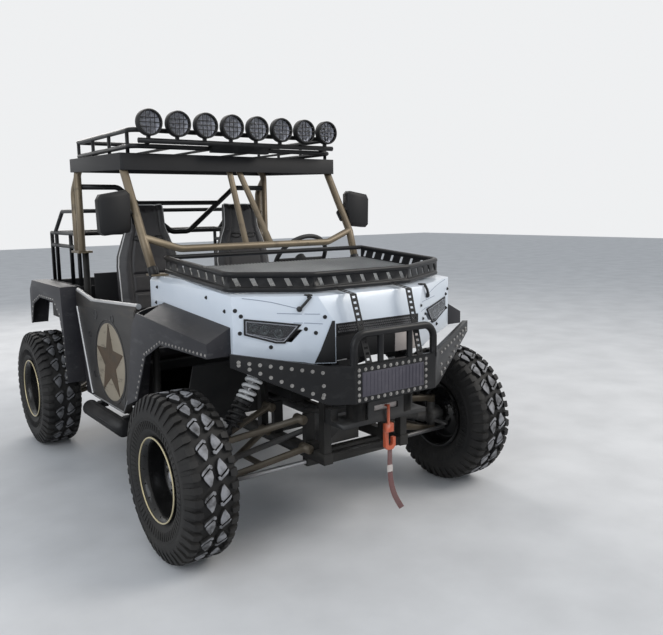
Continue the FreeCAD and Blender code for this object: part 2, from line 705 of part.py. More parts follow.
def winch_hook():
    """The red hook that hangs in front of the fairlead."""
    stem = rod(point(0, HOOK_S, DRUM_Z + 8), point(0, HOOK_S, 545), 7)
    eye = box(-22, 22, HOOK_S - 12, HOOK_S + 12, 520, 560)
    line = rod(point(0, HOOK_S, DRUM_Z), point(0, WINCH_S - DRUM_R - SEAT_GAP, DRUM_Z), 5)
    outline = [(-24, 525), (-24, 450), (-10, 436), (22, 436), (36, 452), (36, 492), (20, 492), (20, 462),
               (12, 454),
               (-2, 454), (-6, 460), (-6, 525)]
    hook = prism_y(outline, HOOK_S - 9, HOOK_S + 9)
    return weld([stem, eye, line, hook])


def winch_strap():
    """The pull strap that hangs from the hook and curls to its free end."""
    # x, station, z
    route = ((8, -450, 435.6), (8, -450, 385), (7, -451, 335), (11, -453, 283),
             (22, -456, 232), (42, -460, 184), (68, -464, 143))
    return tube([point(x, s, z) for x, s, z in route], 13, 400)


def front_flare():
    """The left front flare with its sloping top and long rear leg."""
    rise = 44.0
    inner_x = BODY_X + SEAT_GAP
    outer = [(-165, 912), (-165, 1030), (520, 1030 + rise), (585, 1052), (682, 958), (814, 507),
             (663, 566), (522, 815),
             (326, 903)]
    shell = prism_x(outer, inner_x, FLARE_X)
    room = [(-165 + FLARE_T, 800), (-165 + FLARE_T, 1024), (517, 1068), (580, 1046), (675, 955),
            (800, 520), (800, 400),
            (-165 + FLARE_T, 400)]
    shell = shell.cut(prism_x(room, inner_x - 5, FLARE_X - FLARE_T))
    slope = [point(inner_x, -300, 1026), point(FLARE_X + 40, -300, 945), point(FLARE_X + 40, -300, 1200),
             point(inner_x, -300, 1200)]
    wedge = polygon(slope).extrude(V(0, 1300, 1300 * rise / 685))
    shell = shell.cut(wedge)
    return shell.fuse(lid_for_front_flare(inner_x, rise)).removeSplitter()


def lid_for_front_flare(inner_x, rise):
    """The sloping top sheet of the front flare."""
    drop = 81.0 / (FLARE_X + 40 - inner_x)
    x0, x1 = inner_x, FLARE_X
    z0 = 1026 + 135 * rise / 685
    section = [point(x0, -165, z0 - FLARE_T), point(x0, -165, z0), point(x1, -165, z0 - drop * (x1 - x0)),
               point(x1, -165, z0 - drop * (x1 - x0) - FLARE_T)]
    return polygon(section).extrude(V(0, 690, 690 * rise / 685))


def rear_flare():
    """The left rear flare: a flat topped arch over the rear wheel."""
    inner_x = DOOR_X - 18
    outer = behind_rear_axle([
        (-392, 470), (-420, 470), (-358, 1070), (310, 1070), (380, 1000), (395, 760), (370, 760), (300, 905),
        (130, 965), (-190, 965), (-305, 880), (-348, 760)])
    form = prism_x(outer, inner_x, REAR_FLARE_X)
    room = behind_rear_axle([(-392, 400), (-412, 476), (-352, 1064), (307, 1064), (373, 998), (389, 700)])
    return form.cut(prism_x(room, inner_x + 5, REAR_FLARE_X - FLARE_T))


def rear_side_panel():
    """The left side panel between the door and the rear wheel, with its slanted front edge."""
    outline = behind_rear_axle([
        (-330, 1040), (-363, 1040), (-371, 925), (-580, 425), (-564, 400), (-430, 400), (-385, 700),
        (-330, 900)])
    outer_x = DOOR_X - 18 - SEAT_GAP
    panel = prism_x(outline, outer_x - SHEET, outer_x)
    bracket = box(REAR_POST_X + SILL_R - 2 + SEAT_GAP, outer_x - 1, REAR_POST_S - 15, REAR_POST_S + 15,
                  720, 780)
    return weld([panel, bracket])


def roof_under(station):
    """The height of the roof's underside at a station."""
    front = ROOF_FRONT_S + 12
    rise = (ROOF_REAR_TOP - ROOF_FRONT_TOP) / (ROOF_REAR_S - front)
    return ROOF_FRONT_TOP + (station - front) * rise - SHEET


def front_cage():
    """The front of the cage: pillars, crossbar, the inverted V and the rails under the roof."""
    rail_front = roof_under(PILLAR_TOP_S) - TUBE_R - SEAT_GAP - 1
    rail_end = HOOP_S - TUBE_R - SEAT_GAP
    rail_back = roof_under(rail_end) - TUBE_R - SEAT_GAP - 1
    foot = COWL_Z + 1
    pieces = []
    for side in (-1, 1):
        x = side * PILLAR_X
        pieces.append(tube([point(side * 648, 612, foot + 5), point(x, 690, 1392),
                            point(x, PILLAR_TOP_S, rail_front),
                            point(x, rail_end, rail_back)], TUBE_R, 90))
        inner, outer = sorted((side * 580, side * 668))
        pieces.append(box(inner, outer, 585, 668, foot, foot + 10))
    pieces.append(tube([point(-PILLAR_X, 692, 1400), point(-476, CROSSBAR_S, CROSSBAR_Z),
                        point(476, CROSSBAR_S, CROSSBAR_Z),
                        point(PILLAR_X, 692, 1400)], 19, 90))
    top_z = rail_front - 6
    pieces.append(rod(point(-PILLAR_X, PILLAR_TOP_S, top_z), point(PILLAR_X, PILLAR_TOP_S, top_z), 19))
    for side in (-1, 1):
        pieces.append(rod(point(side * 80, CROSSBAR_S, CROSSBAR_Z), point(side * 25, PILLAR_TOP_S, top_z),
                          17))
    return weld(pieces)


def rear_hoop():
    """The rear hoop with the second tube bolted behind each leg."""
    top_z = roof_under(HOOP_S) - TUBE_R - 2 * SEAT_GAP
    foot_z = REAR_POST_TOP + 12
    pieces = [tube([point(-HOOP_X, HOOP_S, foot_z), point(-HOOP_X, HOOP_S, top_z),
                    point(HOOP_X, HOOP_S, top_z),
                    point(HOOP_X, HOOP_S, foot_z)], TUBE_R, 80)]
    for side in (-1, 1):
        x = side * HOOP_X
        pieces.append(tube([point(x, HOOP_BACK_S, foot_z), point(x, HOOP_BACK_S, top_z - 166),
                            point(x, HOOP_S, top_z - 81)], TUBE_R, 90))
        for z in (foot_z + 40, 1500):
            pieces.append(box(x - 9, x + 9, HOOP_S, HOOP_BACK_S, z - 25, z + 25))
        pieces.append(box(side * 652 - 44, side * 652 + 44, HOOP_S - 30, HOOP_BACK_S + 30,
                          REAR_POST_TOP + SEAT_GAP, foot_z + 2))
    return weld(pieces)


def rear_brace():
    """The black V shaped brace inside the rear hoop."""
    end = HOOP_X - TUBE_R - SEAT_GAP
    high = ROOF_FRONT_TOP - 151
    low = high - 291
    path = [point(-end, HOOP_S, high), point(-416, HOOP_S, high), point(-61, HOOP_S, low),
            point(61, HOOP_S, low),
            point(416, HOOP_S, high), point(end, HOOP_S, high)]
    bar = rod(point(-290, HOOP_S, high - 101), point(290, HOOP_S, high - 101), 15)
    return weld([tube(path, 17, 60), bar])


def roof():
    """The folded roof, open below, with deep front and side faces."""
    def form(inset):
        """The roof's closed form drawn in by the inset."""
        profile = [(ROOF_FRONT_S + inset, ROOF_FRONT_LOW - inset),
                   (ROOF_FRONT_S + 12 + inset, ROOF_FRONT_TOP - inset),
                   (ROOF_REAR_S - inset, ROOF_REAR_TOP - inset),
                   (ROOF_REAR_S - inset, ROOF_REAR_LOW - inset)]
        side = prism_x(profile, -ROOF_X + inset, ROOF_X - inset)
        cut = 12.0
        x, f, r = ROOF_X - inset, ROOF_FRONT_S + inset, ROOF_REAR_S - inset
        plan = [(-x, f + cut), (-x + cut * 1.6, f), (x - cut * 1.6, f), (x, f + cut), (x, r), (-x, r)]
        return side.common(prism_z(plan, ROOF_FRONT_LOW - 100, ROOF_REAR_TOP + 50))
    inner = form(4.0)
    inner.translate(V(0, 0, -2))
    return form(0).cut(inner)


def roof_rack():
    """The two rail roof rack with its posts, floor slats and the bar that carries the lamps."""
    front, rear = ROOF_FRONT_S - 23, ROOF_REAR_S - 30
    pieces = []
    for z in (RACK_LOW_Z, RACK_TOP_Z):
        pieces.append(tube([point(-RACK_X, rear, z), point(-RACK_X, front, z), point(RACK_X, front, z),
                            point(RACK_X, rear, z)], RACK_RAIL_R, 50))
        pieces.append(rod(point(-RACK_X, rear, z), point(RACK_X, rear, z), RACK_RAIL_R))
    for side in (-1, 1):
        for station in (front + 55, front + 330, front + 600, rear):
            x = side * RACK_X
            foot = roof_under(station) + SHEET + SEAT_GAP
            pieces.append(rod(point(x, station, foot), point(x, station, RACK_TOP_Z), 10))
    for x in (-400, -160, 160, 400):
        pieces.append(box(x - 20, x + 20, front, rear, RACK_LOW_Z - 4, RACK_LOW_Z + 4))
    bar_z = LAMP_Z - LAMP_R - 22
    pieces.append(rod(point(-RACK_X + 20, LAMP_S + 12, bar_z), point(RACK_X - 20, LAMP_S + 12, bar_z), 14))
    for x in (-560, -190, 190, 560):
        pieces.append(rod(point(x, LAMP_S + 12, bar_z), point(x, front, RACK_LOW_Z + 8), 11))
    pieces.append(box(-200, 160, LAMP_S + 4, LAMP_S + 44, bar_z - 48, bar_z + 8))
    return weld(pieces)


def roof_lamp(x):
    """One round roof lamp: housing, rim and a foot on the bar."""
    outline = [(-28, 0), (-28, LAMP_R - 14), (-22, LAMP_R), (12, LAMP_R), (32, LAMP_R * 0.62),
               (44, LAMP_R * 0.35), (44, 0)]
    face = polygon([V(radius, 0, along) for along, radius in outline])
    lamp = face.revolve(V(0, 0, 0), V(0, 0, 1), 360)
    lamp.Placement = FreeCAD.Placement(point(x, LAMP_S, LAMP_Z), FreeCAD.Rotation(V(0, 0, 1), V(0, 1, 0)))
    foot_z = LAMP_Z - LAMP_R - 22 + 14 + SEAT_GAP
    foot = box(x - 8, x + 8, LAMP_S + 2, LAMP_S + 22, foot_z, LAMP_Z - LAMP_R + 12)
    front = LAMP_S - 28
    guard = []
    for offset in (-22, 0, 22):
        reach = math.sqrt((LAMP_R - 16) ** 2 - offset ** 2)
        guard.append(box(x + offset - 2, x + offset + 2, front - 4, front + 1, LAMP_Z - reach,
                         LAMP_Z + reach))
        guard.append(box(x - reach, x + reach, front - 4, front + 1, LAMP_Z + offset - 2,
                         LAMP_Z + offset + 2))
    return weld([lamp, foot] + guard)


def seat(x):
    """One seat as two plain pads: the cushion and the tall back."""
    cushion = prism_x([(935, SEAT_Z), (935, 770), (975, 800), (1350, 772), (1350, SEAT_Z)], x - SEAT_W / 2,
                      x + SEAT_W / 2)
    back = prism_x([(1362, SEAT_Z), (1352, 800), (1425, 1240), (1452, 1590), (1475, 1612), (1520, 1600),
                    (1515, 1240),
                    (1470, SEAT_Z)], x - SEAT_W / 2, x + SEAT_W / 2)
    cut = [(x - SEAT_W / 2 - 10, 1240), (x - SEAT_W / 2 - 10, 1700), (x - SEAT_W / 2 + 90, 1700),
           (x - SEAT_W / 2 + 70, 1420),
           (x - SEAT_W / 2, 1240)]
    trim = prism_y(cut, 1200, 1700)
    other = prism_y([(2 * x - px, pz) for px, pz in cut], 1200, 1700)
    return [cushion, back.cut(trim).cut(other)]


def dashboard():
    """The dashboard with its gauge hood and the steering column."""
    outline = [(470, 1000), (470, 1130), (560, 1180), (700, 1180), (745, 1110), (738, 902.3), (600, 902.3)]
    board = prism_x(outline, -560, 560)
    hood = prism_x([(694, 1170), (694, 1222), (742, 1212), (746, 1150), (744, 1108)], WHEEL_X - 120,
                   WHEEL_X + 120)
    tilt = math.radians(COLUMN_TILT)
    hub = point(WHEEL_X, WHEEL_S, WHEEL_Z)
    axis = V(0, math.cos(tilt), math.sin(tilt))
    column = rod(hub - axis * 140, hub - axis * (31 + SEAT_GAP), 24)
    return weld([board, hood, column])


def steering_wheel():
    """The steering wheel: rim, three spokes and hub."""
    tilt = math.radians(COLUMN_TILT)
    axis = V(0, math.cos(tilt), math.sin(tilt))
    hub = point(WHEEL_X, WHEEL_S, WHEEL_Z)
    ring = Part.makeTorus(WHEEL_R, 13, hub, axis)
    boss = rod(hub - axis * 31, hub + axis * 12, 34)
    pieces = [ring, boss]
    across = V(1, 0, 0)
    up = axis.cross(across)
    for angle in (0, 90, 180):
        way = across * math.cos(math.radians(angle)) + up * math.sin(math.radians(angle))
        pieces.append(rod(hub, hub + way * WHEEL_R, 10))
    return weld(pieces)


def door():
    """The left half door: a thick panel with a round top rail and two hinge knuckles."""
    end = REAR_POST_S + 2
    top = [(730, 1040), (1211, 1015), (end - 284, 1004), (end, 1046)]
    outline = top + [(end - 7, 935), (end - 217, 436), (end - 242, 412), (985, 412), (895, 520),
                     (830, 545), (738, 905)]
    panel = prism_x(outline, DOOR_X - DOOR_T, DOOR_X)
    rail = tube([point(DOOR_X - DOOR_T / 2, s, z) for s, z in top], 14, 200)
    hinge_x = DOOR_X + 6
    knuckles = []
    for z in (860, 985):
        knuckles.append(rod(point(hinge_x, DOOR_HINGE_S, z), point(hinge_x, DOOR_HINGE_S, z + 34), 9))
        knuckles.append(box(DOOR_X - 1, DOOR_X + 6, DOOR_HINGE_S + 2, DOOR_HINGE_S + 70, z, z + 34))
    pin = rod(point(hinge_x, DOOR_HINGE_S, 850), point(hinge_x, DOOR_HINGE_S, 1030), DOOR_PIN_R + PIN_GAP)
    return weld([panel, rail] + knuckles).cut(pin)


def mirror_pod():
    """The left door mirror on its arm from the pillar."""
    pod = prism_y([(700, 1450), (712, 1425), (840, 1412), (862, 1430), (866, 1590), (850, 1618),
                   (720, 1640), (700, 1620)], 742, 800)
    front = [edge for edge in pod.Edges if all(abs(corner.Y - at(742)) < 0.01 for corner in edge.Vertexes)]
    pod = pod.makeChamfer(10, front)
    arm = rod(point(PILLAR_X + TUBE_R + SEAT_GAP, 773.4, 1525), point(712, 773.4, 1525), 12)
    return weld([pod, arm])


def side_step():
    """The left side step: a stout tube on two brackets from the sill."""
    z = 352.0
    start, end = 905, REAR_POST_S - 270
    bar = rod(point(745, start, z), point(745, end, z), STEP_R)
    brackets = [box(SILL_X + SILL_R + SEAT_GAP, 720, s - 15, s + 15, z + 12, z + 48) for s in (start + 75,
                                                                                               end - 70)]
    return weld([bar] + brackets)


def cargo_bed():
    """The cargo bed: floor on two ribs, front wall and sides, and its two pivot bosses."""
    rear = GATE_S + GATE_T + 4
    outer = box(-BED_X, BED_X, BED_FRONT_S, rear, BED_FLOOR_Z, BED_TOP_Z)
    room = box(-BED_X + SHEET, BED_X - SHEET, BED_FRONT_S + SHEET, rear + 5, BED_FLOOR_Z + SHEET,
               BED_TOP_Z + 5)
    sweep = box(-BED_X + SHEET, BED_X - SHEET, BED_REAR_S - 8, rear + 5, BED_FLOOR_Z - 5, BED_TOP_Z)
    pieces = [outer.cut(room).cut(sweep)]
    for side in (-1, 1):
        x = side * (BED_RAIL_X - 60)
        pieces.append(box(x - 20, x + 20, BED_FRONT_S + 40, BED_REAR_S - 8, BED_FLOOR_Z - 34,
                          BED_FLOOR_Z + 1))
        pieces.append(rod(point(x - 20, BED_HINGE_S, BED_HINGE_Z), point(x + 20, BED_HINGE_S, BED_HINGE_Z),
                          24))
        pieces.append(box(x - 20, x + 20, BED_HINGE_S - 24, BED_HINGE_S + 24, BED_HINGE_Z, BED_FLOOR_Z))
    pin = rod(point(-300, BED_HINGE_S, BED_HINGE_Z), point(300, BED_HINGE_S, BED_HINGE_Z),
              BED_PIN_R + PIN_GAP)
    pivot_s, pivot_z = gate_pivot()
    gate_pin = rod(point(-BED_X - 5, pivot_s, pivot_z), point(BED_X + 5, pivot_s, pivot_z),
                   GATE_PIN_R + PIN_GAP)
    return weld(pieces).cut(pin).cut(gate_pin)


def bed_rack():
    """The tube rack on the bed's sides."""
    x = BED_X - RACK_RAIL_R
    rail, low_rail, crown = BED_TOP_Z + 333, BED_TOP_Z + 248, BED_TOP_Z + 478
    front, rear = BED_FRONT_S + 38, BED_REAR_S - 30
    pieces = []
    for side in (-1, 1):
        for z in (rail, low_rail):
            pieces.append(rod(point(side * x, front, z), point(side * x, rear, z), RACK_RAIL_R))
        pieces.append(tube([point(side * x, rear - 80, rail), point(side * x, rear - 280, crown),
                            point(side * x, front + 40, crown), point(side * x, front, low_rail)],
                            RACK_RAIL_R, 40))
        for station in (front, front + 160, rear - 110, rear):
            pieces.append(rod(point(side * x, station, BED_TOP_Z + SEAT_GAP),
                              point(side * x, station, rail), RACK_RAIL_R))
    for station, z in ((front + 20, rail), (rear, rail), (rear - 280, crown), (front + 40, crown)):
        pieces.append(rod(point(-x, station, z), point(x, station, z), RACK_RAIL_R))
    return weld(pieces)


def gate_pivot():
    """The station and height of the tailgate's pins."""
    return GATE_S + GATE_T / 2, BED_FLOOR_Z + 10


def tailgate():
    """The tailgate between the bed's sides, with a pin at each lower corner."""
    half = BED_X - SHEET - 4
    panel = box(-half, half, GATE_S, GATE_S + GATE_T, BED_FLOOR_Z, BED_TOP_Z - 4)
    pivot_s, pivot_z = gate_pivot()
    return panel.fuse(rod(point(-BED_X, pivot_s, pivot_z), point(BED_X, pivot_s, pivot_z),
                          GATE_PIN_R)).removeSplitter()


def tail_lamp():
    """The left tail lamp on the bed's rear corner."""
    return box(BED_X + SEAT_GAP, BED_X + 34, BED_REAR_S - 70, BED_REAR_S - 8, 905, 1040)


def rear_bumper():
    """The rear bumper tube with its brackets and the square hitch receiver."""
    s = FRAME_REAR + 75
    z = 575.0
    pieces = [tube([point(-470, s - 60, z), point(-400, s, z), point(400, s, z), point(470, s - 60, z)],
                   24, 60)]
    half = HITCH_SIDE / 2
    receiver = box(-half, half, FRAME_REAR + SEAT_GAP, HITCH_S, HITCH_Z - half, HITCH_Z + half)
    hole = HITCH_BORE / 2
    receiver = receiver.cut(box(-hole, hole, HITCH_S - 150, HITCH_S + 5, HITCH_Z - hole, HITCH_Z + hole))
    receiver = receiver.cut(rod(point(-half - 5, HITCH_S - 45, HITCH_Z),
                                point(half + 5, HITCH_S - 45, HITCH_Z), HITCH_PIN_R))
    plates = [box(side * RAIL_X - 8, side * RAIL_X + 8, FRAME_REAR + SEAT_GAP, s + 10, RAIL_Z + 5,
                  z + 10) for side in (-1, 1)]
    cross = box(-RAIL_X, RAIL_X, FRAME_REAR + SEAT_GAP, FRAME_REAR + 20, HITCH_Z - half, HITCH_Z + half)
    low = box(-RAIL_X - 25, RAIL_X + 25, FRAME_REAR + SEAT_GAP, FRAME_REAR + 8, RAIL_Z + 2, HITCH_Z)
    return weld(pieces + [receiver, cross, low] + plates)


def exhaust():
    """The silencer under the rear of the bed with its tail pipe."""
    s = BED_HINGE_S + 28
    body = rod(point(-60, s, 630), point(260, s, 630), 62)
    pipe = rod(point(200, s, 630), point(200, s + 110, 645), 22)
    hanger = box(240, BED_RAIL_X + 15, s - 30, s - 9, 665, BED_RAIL_Z - 40 - SEAT_GAP)
    return weld([body, pipe, hanger])


def drivetrain():
    """The engine block, both gearcases and the shafts between and out of them."""
    engine_s = REAR_POST_S - 200
    engine = box(-190, 190, engine_s, engine_s + 140, 440, 740)
    pieces = [engine]
    for station, boot in ((0.0, KINGPIN_X - 62), (WHEELBASE, REAR_TRACK_HALF - 190)):
        z = 460.0
        pieces.append(box(-105, 105, station - 95, station + 95, z - 75, z + 70))
        for side in (-1, 1):
            start = point(side * 90, station, z)
            end = point(side * boot, station, TYRE_R + 4)
            axis = (end - start).normalize()
            pieces.append(rod(start, end, 14))
            pieces.append(Part.makeCone(20, 36, 60, end - axis * 60, axis))
            pieces.append(Part.makeCone(40, 22, 60, start, axis))
    pieces.append(rod(point(0, 60, 470), point(0, engine_s + 20, 500), 18))
    pieces.append(rod(point(0, engine_s + 120, 500), point(0, WHEELBASE - 70, 470), 18))
    return weld(pieces)


def rear_arm_set():
    """The left rear arms with the hub carrier and spindle they hold."""
    carrier_x = REAR_TRACK_HALF - 130
    lower = a_arm(WHEELBASE, carrier_x, LOWER_BALL_Z, LOWER_PIVOT_Z, LOWER_PIVOT_REACH, 0.45, ARM_DROP)
    upper = a_arm(WHEELBASE, carrier_x, UPPER_BALL_Z, UPPER_PIVOT_Z, UPPER_PIVOT_REACH,
                  brace_share(carrier_x))
    axle = point(carrier_x, WHEELBASE, TYRE_R)
    post = rod(point(carrier_x, WHEELBASE, LOWER_BALL_Z), point(carrier_x, WHEELBASE, UPPER_BALL_Z), EYE_R)
    carrier = rod(axle + V(-24, 0, 0), axle + V(52, 0, 0), CARRIER_R)
    spindle = rod(axle, point(REAR_TRACK_HALF + 16, WHEELBASE, TYRE_R), SPINDLE_R)
    return weld([lower, upper, post, carrier, spindle])


def build():
    """Make every piece and write its file."""
    os.makedirs("parts", exist_ok=True)
    save("chassis_frame", [frame_low()])
    save("frame_uprights", frame_high().Solids)
    save("floor_tub", [floor_tub()])
    save("dashboard", [dashboard()])
    save("drivetrain", [drivetrain()])
    lower = a_arm(0, KINGPIN_X, LOWER_BALL_Z, LOWER_PIVOT_Z, LOWER_PIVOT_REACH, 0.45, ARM_DROP)
    upper = a_arm(0, KINGPIN_X, UPPER_BALL_Z, UPPER_PIVOT_Z, UPPER_PIVOT_REACH, brace_share(KINGPIN_X))
    save("front_arms", both_sides(lower) + both_sides(upper))
    save("rear_arms", both_sides(rear_arm_set()))
    front_shock = shock(0, KINGPIN_X, SHOCK_TOP_Z)
    rear_shock = shock(WHEELBASE, REAR_TRACK_HALF - 130, REAR_SHOCK_TOP_Z)
    save("shocks", both_sides(front_shock) + both_sides(rear_shock))
    save("knuckle_left", [knuckle()])
    save("knuckle_right", [mirrored(knuckle())])
    save("tie_rods", [tie_rods()])
    # name, station, centre X, side
    wheels = (("fl", 0, FRONT_TRACK_HALF, 1), ("fr", 0, -FRONT_TRACK_HALF, -1),
              ("rl", WHEELBASE, REAR_TRACK_HALF, 1), ("rr", WHEELBASE, -REAR_TRACK_HALF, -1))
    for name, station, x, side in wheels:
        save("tyre_" + name, [tyre(x, station)])
        save("rim_" + name, [rim(x, station, side)])
    save("front_body", [front_body()])
    save("grille", [grille()])
    save("headlights", both_sides(headlight()))
    save("bumper", [bumper()])
    save("winch", [winch()])
    save("winch_hook", [winch_hook()])
    save("winch_strap", [winch_strap()])
    save("hood_rack", [hood_rack()])
    save("fender_flares", both_sides(front_flare()) + both_sides(rear_flare()))
    save("rear_side_panels", both_sides(rear_side_panel()))
    save("front_cage", [front_cage()])
    save("rear_hoop", [rear_hoop()])
    save("rear_brace", [rear_brace()])
    save("roof", [roof()])
    save("roof_rack", [roof_rack()])
    lamp_pitch = 2 * LAMP_X / (LAMP_COUNT - 1)
    save("roof_lamps", [roof_lamp(-LAMP_X + lamp_pitch * index) for index in range(LAMP_COUNT)])
    save("seats", seat(SEAT_X) + seat(-SEAT_X))
    save("steering_wheel", [steering_wheel()])
    save("door_left", [door()])
    save("door_right", [mirrored(door())])
    save("mirrors", both_sides(mirror_pod()))
    save("side_steps", both_sides(side_step()))
    save("cargo_bed", [cargo_bed()])
    save("bed_rack", [bed_rack()])
    save("tailgate", [tailgate()])
    save("tail_lamps", both_sides(tail_lamp()))
    save("rear_bumper", [rear_bumper()])
    save("exhaust", [exhaust()])


build()
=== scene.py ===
# %% [markdown]
# # Dressing a side by side utility vehicle
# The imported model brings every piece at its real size. This lesson gives those pieces their finish
# and adds what is too fine for the solid model: tread lugs, coil springs, lamp guards, rivets and seats.
# The vehicle drives towards -Y, its left side is +X, and the ground is at Z = 0. Everything is in metres.

# %% Load the fixed frame
import json
import math

import bmesh
import bpy
from mathutils import Matrix, Vector


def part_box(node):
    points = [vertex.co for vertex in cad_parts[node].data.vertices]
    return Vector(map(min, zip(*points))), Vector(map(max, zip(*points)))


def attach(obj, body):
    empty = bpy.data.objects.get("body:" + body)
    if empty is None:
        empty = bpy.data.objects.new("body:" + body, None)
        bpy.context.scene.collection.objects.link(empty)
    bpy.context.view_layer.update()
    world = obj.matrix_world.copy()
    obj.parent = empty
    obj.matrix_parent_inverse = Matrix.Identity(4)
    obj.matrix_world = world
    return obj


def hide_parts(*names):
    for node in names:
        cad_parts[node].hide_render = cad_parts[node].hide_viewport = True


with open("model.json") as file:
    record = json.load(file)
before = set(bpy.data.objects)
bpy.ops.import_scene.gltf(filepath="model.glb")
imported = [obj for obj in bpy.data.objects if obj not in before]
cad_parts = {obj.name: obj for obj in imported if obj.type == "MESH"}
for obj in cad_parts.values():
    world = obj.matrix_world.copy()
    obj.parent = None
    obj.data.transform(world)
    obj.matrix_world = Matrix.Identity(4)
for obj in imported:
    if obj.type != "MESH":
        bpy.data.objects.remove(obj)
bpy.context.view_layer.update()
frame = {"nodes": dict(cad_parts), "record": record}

# %% [markdown]
# Stations are easier to think in than Y values: a station is how far a thing lies behind the front axle.
# The wheels tell where the axles are, so the frame itself gives the wheelbase.

# %% Stations behind the front axle
front_low, front_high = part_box("tyre_fl")
rear_low, rear_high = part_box("tyre_rl")
FRONT_AXLE_Y = (front_low.y + front_high.y) / 2
WHEELBASE = (rear_low.y + rear_high.y) / 2 - FRONT_AXLE_Y
TYRE_R = (front_high.z - front_low.z) / 2
LEFT, FORWARD, BACKWARD = Vector((1, 0, 0)), Vector((0, -1, 0)), Vector((0, 1, 0))


def at(station, x=0.0, z=0.0):
    """A point from its station behind the front axle, its X and its height."""
    return Vector((x, FRONT_AXLE_Y + station, z))


print("wheelbase", round(WHEELBASE, 3), "tyre radius", round(TYRE_R, 3))

# %% [markdown]
# ## The camera
# The photograph was taken from a standing person's eye height, off the front right corner. A camera's
# place and angles were worked out from the wheels, the roof and the lamps, and its lens from the same fit.

# %% Camera at the photograph's view
PHOTO_W, FOCAL_PIXELS = 663, 727.8
SENSOR_WIDE, FAR_CLIP = 36.0, 200.0
CAMERA_AT = Vector((-2.0936, -3.9576, 1.5268))
AZIMUTH, DOWN, ROLL = math.radians(-36.05), math.radians(8.44), math.radians(-0.846)
scene = bpy.context.scene


def put(name, data):
    """A new object in the scene."""
    made = bpy.data.objects.new(name, data)
    scene.collection.objects.link(made)
    return made


def camera_matrix(azimuth, down, roll):
    """Turn three angles into the camera's rotation: its right, up and backward directions."""
    back = Vector((math.sin(azimuth) * math.cos(down), -math.cos(azimuth) * math.cos(down), math.sin(down)))
    right = (-back).cross(Vector((0, 0, 1))).normalized()
    up = right.cross(-back)
    turned_right = right * math.cos(roll) + up * math.sin(roll)
    turned_up = up * math.cos(roll) - right * math.sin(roll)
    return Matrix((turned_right, turned_up, back)).transposed()


camera_data = bpy.data.cameras.new("camera")
camera_data.sensor_width = SENSOR_WIDE
camera_data.lens = FOCAL_PIXELS / PHOTO_W * SENSOR_WIDE
camera_data.clip_end = FAR_CLIP
camera = put("camera", camera_data)
camera.matrix_world = Matrix.Translation(CAMERA_AT) @ camera_matrix(AZIMUTH, DOWN, ROLL).to_4x4()
scene.camera = camera
print("lens", round(camera_data.lens, 2), "mm")

# %% [markdown]
# ## A short way to write node trees
# The world, the finishes and the repeating shapes are all node trees. One helper adds named nodes with
# their settings and joins them, so each tree below reads as a list of its nodes and a list of its wires.

# %% One helper for every node tree


def grow(tree, nodes, wires, made=None):
    """Add nodes (name: kind and settings) to a tree and join them; a wire reads "node.output > node.input".

    A setting with a number or a capital letter is an input of the node, and any other is a property.
    """
    made = dict(made or {})
    for name, (kind, settings) in nodes.items():
        made[name] = node = tree.nodes.new(kind)
        for key, value in settings.items():
            if isinstance(key, int) or key[0].isupper():
                node.inputs[key].default_value = value
            else:
                setattr(node, key, value)
    for wire in wires.split(", "):
        (giver, out), (taker, into) = (end.split(".") for end in wire.split(" > "))
        out, into = (int(label) if label.isdigit() else label for label in (out, into))
        tree.links.new(made[giver].outputs[out], made[taker].inputs[into])


def start_group(name, kind, inputs, outputs):
    """A node group with named sockets of (label, type, default); returns the tree and its two end nodes."""
    tree = bpy.data.node_groups.new(name, kind)
    for in_out, sockets in (("INPUT", inputs), ("OUTPUT", outputs)):
        for label, socket_type, *default in sockets:
            socket = tree.interface.new_socket(label, in_out=in_out, socket_type="NodeSocket" + socket_type)
            if default:
                socket.default_value = default[0]
    return tree, {"in": tree.nodes.new("NodeGroupInput"), "out": tree.nodes.new("NodeGroupOutput")}


print("node helper ready")

# %% [markdown]
# ## Floor, world and lamps
# A pale floor and a pale world keep the object easy to read. Light Path lets the world look white to the
# camera, to glass and to glossy surfaces while it lights the object at a plainer level.

# %% World that shows pale and lights plainly
WORLD_LIGHT, WORLD_TINT, BACKDROP = 0.58, (0.86, 0.93, 1.0, 1), (0.86, 0.87, 0.88, 1)
scene.view_settings.view_transform = "Standard"
world = bpy.data.worlds.new("studio")
scene.world = world
world.use_nodes = True
world.node_tree.nodes.clear()
grow(world.node_tree, {
    "path": ("ShaderNodeLightPath", {}),
    "either": ("ShaderNodeMath", {"operation": "MAXIMUM"}),
    "shown": ("ShaderNodeMath", {"operation": "MAXIMUM"}),
    "lighting": ("ShaderNodeBackground", {"Color": WORLD_TINT, "Strength": WORLD_LIGHT}),
    "backdrop": ("ShaderNodeBackground", {"Color": BACKDROP, "Strength": 1.0}),
    "mix": ("ShaderNodeMixShader", {}),
    "out": ("ShaderNodeOutputWorld", {}),
}, "path.Is Camera Ray > either.0, path.Is Transmission Ray > either.1, either.0 > shown.0, "
   "path.Is Glossy Ray > shown.1, shown.0 > mix.0, lighting.0 > mix.1, backdrop.0 > mix.2, mix.0 > out.Surface")
print("world light", WORLD_LIGHT)

# %% [markdown]
# Three soft area lamps give form: a warm key from the front left, a cool fill from the camera's side, and
# one behind that draws the roof rack's edges. A large pale floor lies under the vehicle.

# %% Lamps and floor
FLOOR_HALF = 30.0


def area_lamp(name, place, aim_z, size, watts, colour):
    """A square soft lamp that points at a height over the vehicle's middle."""
    data = bpy.data.lights.new(name, "AREA")
    data.size, data.energy, data.color = size, watts, colour
    lamp = put(name, data)
    lamp.location = place
    lamp.rotation_euler = (Vector((0, 0, aim_z)) - Vector(place)).to_track_quat("-Z", "Y").to_euler()


